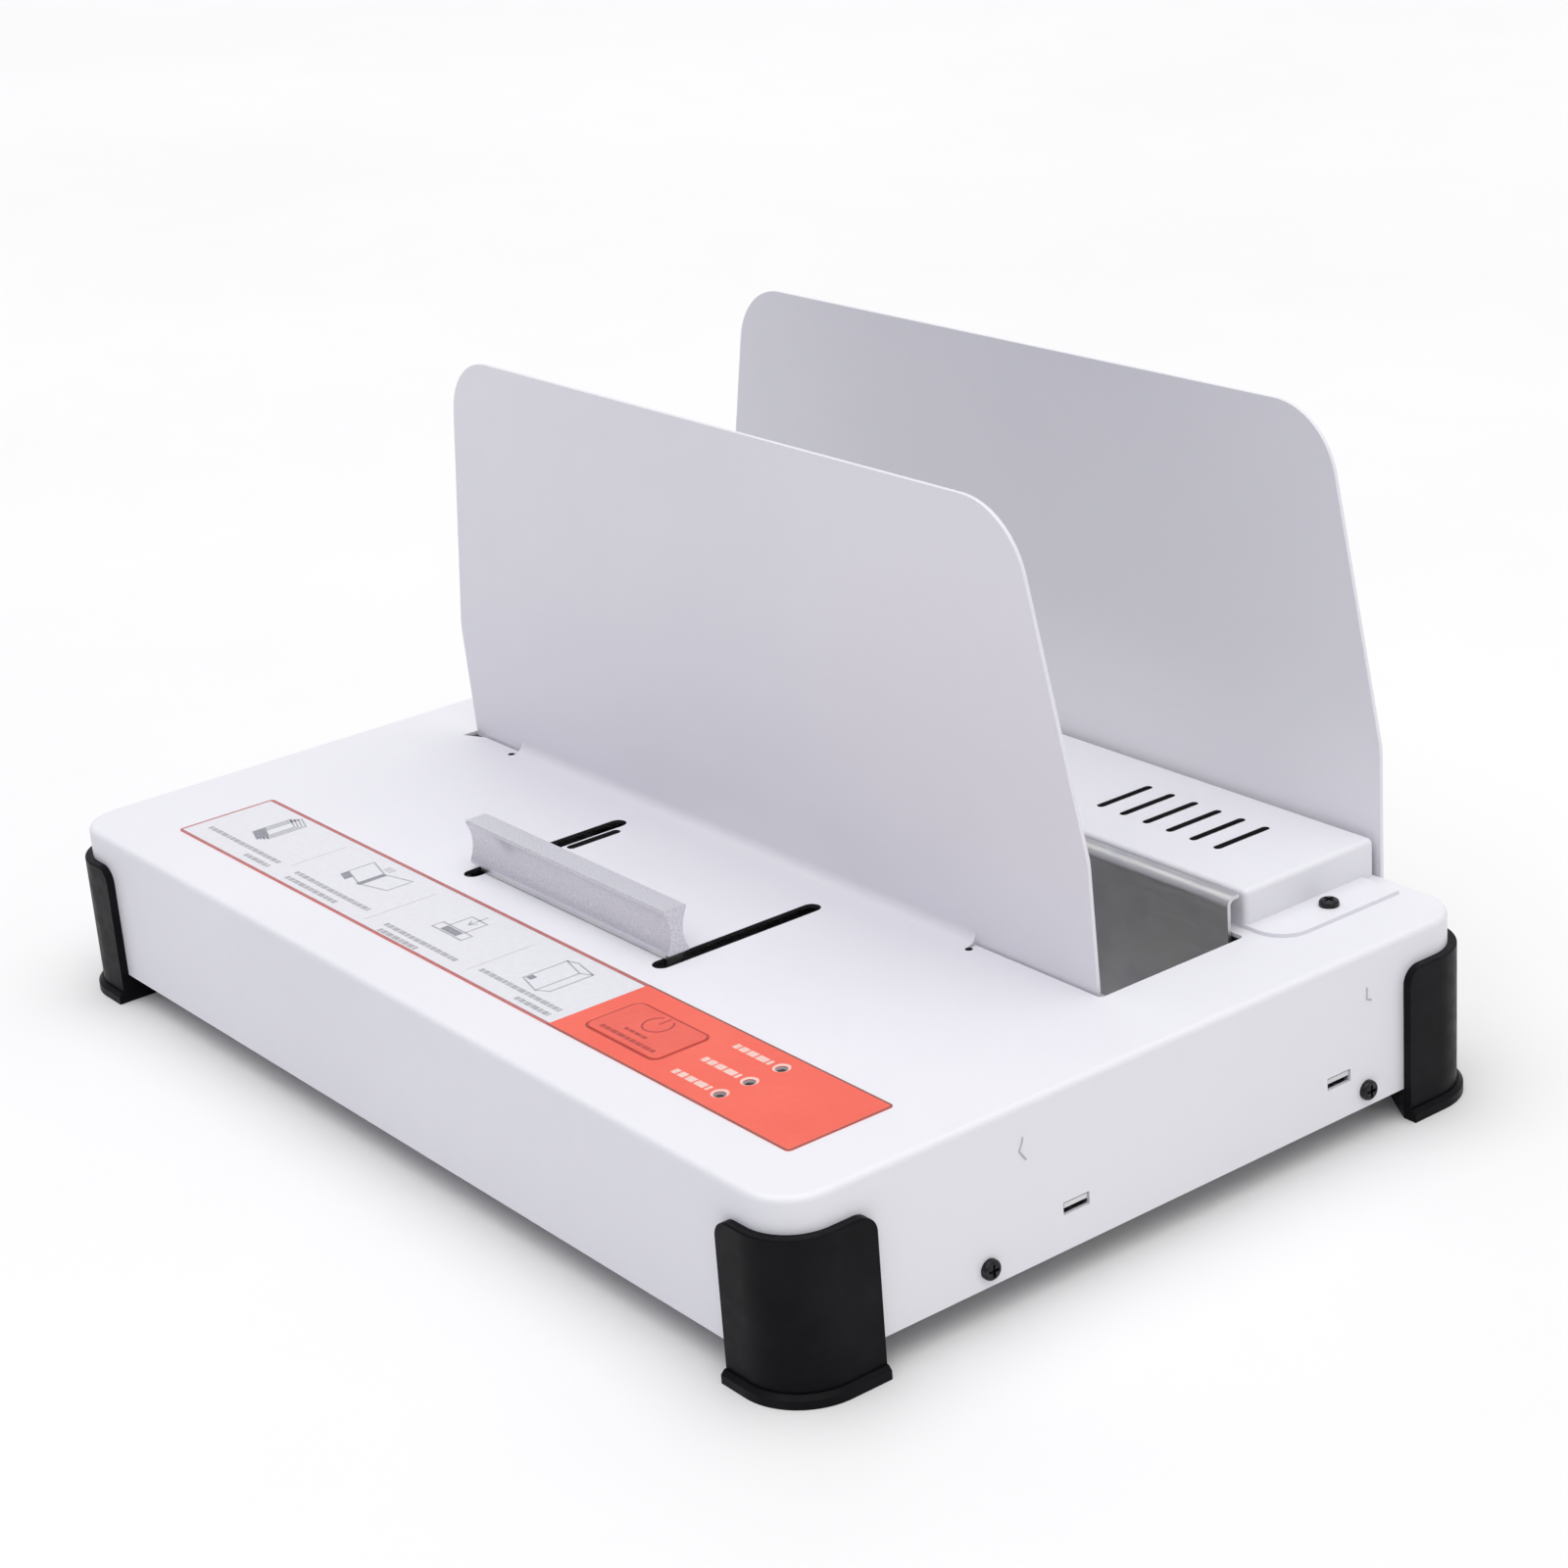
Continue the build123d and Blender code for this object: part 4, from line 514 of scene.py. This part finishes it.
def step_pictures():
    """Four small line drawings: sheets, sheets in a cover, a book set in the machine, the bound book."""
    stroke = 0.6
    drawn = []
    for sheet in range(4):
        shift = sheet * 0.9
        drawn += line([
            (-134.5 + shift, -90 + shift),
            (-127.5 + shift, -92.5 + shift),
            (-127.5 + shift, -78.5 + shift),
            (-134.5 + shift, -76 + shift),
        ], stroke, closed=True)
    drawn += line([(-81, -76.5), (-70, -79.5), (-70, -89), (-81, -86)], stroke, closed=True)
    drawn += line([(-58, -76.5), (-69, -79.5), (-69, -89), (-58, -86)], stroke, closed=True)
    for sheet in range(3):
        drawn += line([(-73 + sheet * 1.5, -78), (-73 + sheet * 1.5, -75.2)], stroke)
    drawn += line([(-24, -91), (-8, -91), (-8, -87), (-24, -87)], stroke, closed=True)
    drawn += line([(-20.5, -87), (-20.5, -79), (-12, -79), (-12, -87)], stroke)
    drawn += line([(-16.2, -76), (-16.2, -82.6)], stroke)
    drawn += line([(-18, -80.8), (-16.2, -83), (-14.4, -80.8)], stroke)
    drawn += line([(28, -93), (38, -95.5), (38, -80), (28, -77.5)], stroke, closed=True)
    drawn += line([(38, -95.5), (42, -93), (42, -78), (38, -80)], stroke)
    drawn += line([(28, -77.5), (32, -76.2), (42, -78)], stroke)
    return drawn


def picture_spots():
    """The filled parts of the four drawings."""
    return [
        [(-134.5, -90), (-127.5, -92.5), (-127.5, -88), (-134.5, -85.5)],
        rectangle(-70.6, -68.4, -89.6, -79.4),
        [(-81, -86), (-76, -87.4), (-76, -90.4), (-81, -89)],
        rectangle(-20.5, -12, -90.4, -87.6),
        rectangle(28.5, 31, -92.4, -90),
    ]


print_on("label_steps_print", step_pictures(), third, grey_ink)
print_on("label_spots_print", picture_spots(), fourth, spot_ink)

# Key: the sign for power and two plain rows of print on its cap, and a frame on the label round it.
key_face = key_high.z
sign_x = 83.4
sign_y = -85.0
sign_radius = 4.5
sign_line = 0.65
sign_stem_lift = 0.4
sign_first_angle = 120
sign_last_angle = 420
sign = line(arc(sign_x, sign_y, sign_radius, sign_first_angle, sign_last_angle), sign_line)
stem_low = sign_y + sign_stem_lift
sign += line([(sign_x, stem_low), (sign_x, stem_low + sign_radius)], sign_line)

# Left end, right end, middle and height of each row on the key.
key_rows = [(78, 88, -92.4, 1.2), (71.5, 96.5, -95.9, 1.5)]
for left, right, middle, height in key_rows:
    sign += words(left, right, middle, height)
print_on("key_sign_print", sign, key_face, deep_ink, body="power_key")
ring_inset = 0.4
ring_line = 0.5
ring_corner = 3.1
ring_outline = rounded(
    key_low.x + ring_inset,
    key_high.x - ring_inset,
    key_low.y + ring_inset,
    key_high.y - ring_inset,
    ring_corner,
)
print_on("key_outline_print", line(ring_outline, ring_line, closed=True), face, deep_ink)

# Three lights, each with a pale crescent at its far left side and a pale row of print at its left.
lights_low, lights_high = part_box("indicator_lights")
light_x = (lights_low.x + lights_high.x) / 2 / mm
light_rows = (-77.8, -88.7, -98.6)
light_edge = 1.85
ring_radius = 2.6
ring_shift_x = -0.45
ring_shift_y = 0.4
name_left = 109
name_right = 125.2
name_lift = 0.2
name_height = 2.5
name_pitch = 2.7
name_gap = 0.7


def crescent(x, y, inner, outer, shift_x, shift_y, steps=28):
    """The space between a ring's hole and its rim, whose middle is shifted: one outline for each step."""
    hole = arc(x, y, inner, 0, 360, steps)
    rim = arc(x + shift_x, y + shift_y, outer, 0, 360, steps)
    return [[hole[step], rim[step], rim[step + 1], hole[step + 1]] for step in range(steps)]


rings = []
marks = []
for row in light_rows:
    rings += crescent(light_x, row, light_edge, ring_radius, ring_shift_x, ring_shift_y)
    marks += words(name_left, name_right, row + name_lift, name_height, name_pitch, name_gap)
print_on("light_rings_print", rings, face, pale_ink)
print_on("light_names_print", marks, face, pale_ink)


# Dark linings inside the holes that are cut through the sheets: painted shade, a thin black wall put where
# the holes' cut edges fall in shade, so that they look black from every side.
shade_lining_gap = 0.05
shade_lining_wall = 0.1
cover_sheet = 1.2


def shade_lining(name, outlines, top):
    """Makes one thin dark wall inside each hole, over the thickness of the sheet below the height given:
    painted shade, in the black plastic colour.
    """
    mesh = bpy.data.meshes.new(name)
    shape = bmesh.new()
    for outer, inner in outlines:
        rings = []
        for outline in (outer, inner):
            for height in (top - shade_lining_gap, top - cover_sheet):
                rings.append([shape.verts.new((x * mm, y * mm, height * mm)) for x, y in outline])
        outer_high, outer_low, inner_high, inner_low = rings
        for index in range(len(outer)):
            after = (index + 1) % len(outer)
            for one, other in ((outer_low, outer_high), (outer_high, inner_high),
                               (inner_high, inner_low), (inner_low, outer_low)):
                shape.faces.new((one[index], one[after], other[after], other[index]))
    bmesh.ops.recalc_face_normals(shape, faces=shape.faces)
    shape.to_mesh(mesh)
    shape.free()
    # The black plastic colour of these linings is painted shade, not a real part.
    mesh.materials.append(finishes["black_plastic"])
    piece = bpy.data.objects.new(name, mesh)
    bpy.context.collection.objects.link(piece)
    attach(piece, "machine")


def slot_shade_linings(x, front, back, width):
    """Outer and inner outline of the painted-shade lining of a slot with round ends."""
    pair = []
    for inset in (shade_lining_gap, shade_lining_gap + shade_lining_wall):
        half = width / 2 - inset
        pair.append(rounded(x - half, x + half, front + inset, back - inset, half))
    return pair


def hole_shade_linings(x, y, radius, sides=24):
    """Outer and inner outline of the painted-shade lining of a round hole."""
    last = 360 - 360 / sides
    return [arc(x, y, radius - inset, 0, last, sides - 1) for inset in (shade_lining_gap, shade_lining_gap + shade_lining_wall)]


cover_top = label_low.z
housing_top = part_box("rear_housing")[1].z / mm

slide_slot_x = 50
slide_slot_front = -62.3
slide_slot_back = -1.2
slide_slot_width = 6.2
short_slot_x = -44.6
short_slot_front = -27.3
short_slot_back = -7.1
short_slot_width = 3.4
cover_slots = []
for side in (-1, 1):
    cover_slots.append(slot_shade_linings(side * slide_slot_x, slide_slot_front, slide_slot_back, slide_slot_width))
cover_slots.append(slot_shade_linings(short_slot_x, short_slot_front, short_slot_back, short_slot_width))
shade_lining("slot_shade_linings", cover_slots, cover_top)

relief_places = (-130.0, 107.4)
relief_y = 8.2
relief_radius = 1.2
shade_lining("relief_shade_linings", [hole_shade_linings(x, relief_y, relief_radius) for x in relief_places], cover_top)

vent_first_x = 127
vent_pitch = 10
vent_count = 6
vent_front = 88
vent_back = 110.5
vent_width = 2.8
housing_slots = []
for side in (-1, 1):
    for index in range(vent_count):
        vent_x = side * (vent_first_x - vent_pitch * index)
        housing_slots.append(slot_shade_linings(vent_x, vent_front, vent_back, vent_width))
shade_lining("vent_shade_linings", housing_slots, housing_top)


# Pressed marks on the right side: the edges of two small half-sheared buttons, as thin bent ridges on the
# paint, coloured grey as painted shade of the pressed edges.
side_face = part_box("top_cover")[1].x
mark_depth = 0.3
mark_paths = {
    "pressed_mark_front": [(-46.94, 48.3), (-47.4, 46.6), (-48.34, 44.7), (-47.3, 43.2), (-46.1, 41.6)],
    "pressed_mark_rear": [(83.45, 46.6), (83.35, 45.0), (83.3, 43.3), (84.2, 42.8), (85.1, 42.5)],
}
for mark_name, mark_path in mark_paths.items():
    curve = bpy.data.curves.new(mark_name, "CURVE")
    curve.dimensions = "3D"
    curve.bevel_depth = mark_depth * mm
    curve.bevel_resolution = 3
    stroke = curve.splines.new("POLY")
    stroke.points.add(len(mark_path) - 1)
    for point, (along, up) in zip(stroke.points, mark_path):
        point.co = (side_face, along * mm, up * mm, 1)
    # The grey of the marks is painted shade.
    curve.materials.append(painted_shade_ink)
    mark = bpy.data.objects.new(mark_name, curve)
    bpy.context.collection.objects.link(mark)
    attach(mark, "machine")


# Floor, light and surroundings.
def floor_disc(radius, corners=96):
    """A wide round floor, pale and slightly uneven."""
    shape = bmesh.new()
    bmesh.ops.create_circle(shape, cap_ends=True, radius=radius, segments=corners)
    mesh = bpy.data.meshes.new("floor")
    shape.to_mesh(mesh)
    shape.free()
    pale = Surface("pale_floor")
    pale.colour(pale.blend(pale.noise(0.6, detail=3.0), 0.35, 0.65, [(0.82, 0.82, 0.82), (0.84, 0.84, 0.84)]))
    pale.roughness(pale.spread(pale.noise(0.05), 0.6, 0.7))
    mesh.materials.append(pale.material)
    floor = bpy.data.objects.new("floor", mesh)
    bpy.context.collection.objects.link(floor)


def soft_sun(name, come_from, strength, spread, colour):
    """Even light from a wide part of the sky, around the direction that it comes from."""
    data = bpy.data.lights.new(name, "SUN")
    data.energy = strength
    data.angle = math.radians(spread)
    data.color = colour
    lamp = bpy.data.objects.new(name, data)
    lamp.rotation_euler = Vector(come_from).to_track_quat("Z", "Y").to_euler()
    bpy.context.collection.objects.link(lamp)


def surroundings(dim_side, dim_colour, bright_colour):
    """A studio whose walls are bright all round but for one dimmer side."""
    world = bpy.data.worlds.new("surroundings")
    world.use_nodes = True
    nodes = world.node_tree.nodes
    links = world.node_tree.links
    way = nodes.new("ShaderNodeTexCoord").outputs["Generated"]
    share = nodes.new("ShaderNodeVectorMath")
    share.operation = "DOT_PRODUCT"
    share.inputs[1].default_value = Vector(dim_side).normalized()
    walls = nodes.new("ShaderNodeValToRGB")
    walls.color_ramp.interpolation = "EASE"
    walls.color_ramp.elements[0].color = (*bright_colour, 1.0)
    walls.color_ramp.elements[1].color = (*dim_colour, 1.0)
    links.new(way, share.inputs[0])
    links.new(share.outputs["Value"], walls.inputs["Fac"])
    links.new(walls.outputs["Color"], nodes["Background"].inputs["Color"])
    bpy.context.scene.world = world


floor_disc(radius=12.0)
soft_sun("light_above", come_from=(0.10, -0.20, 1.0), strength=1.92, spread=80, colour=(1.0, 0.995, 0.985))
surroundings(
    dim_side=(-0.22, -1.0, -0.15),
    dim_colour=(0.195, 0.195, 0.28),
    bright_colour=(0.69, 0.69, 0.70),
)
bpy.context.scene.view_settings.view_transform = "Standard"
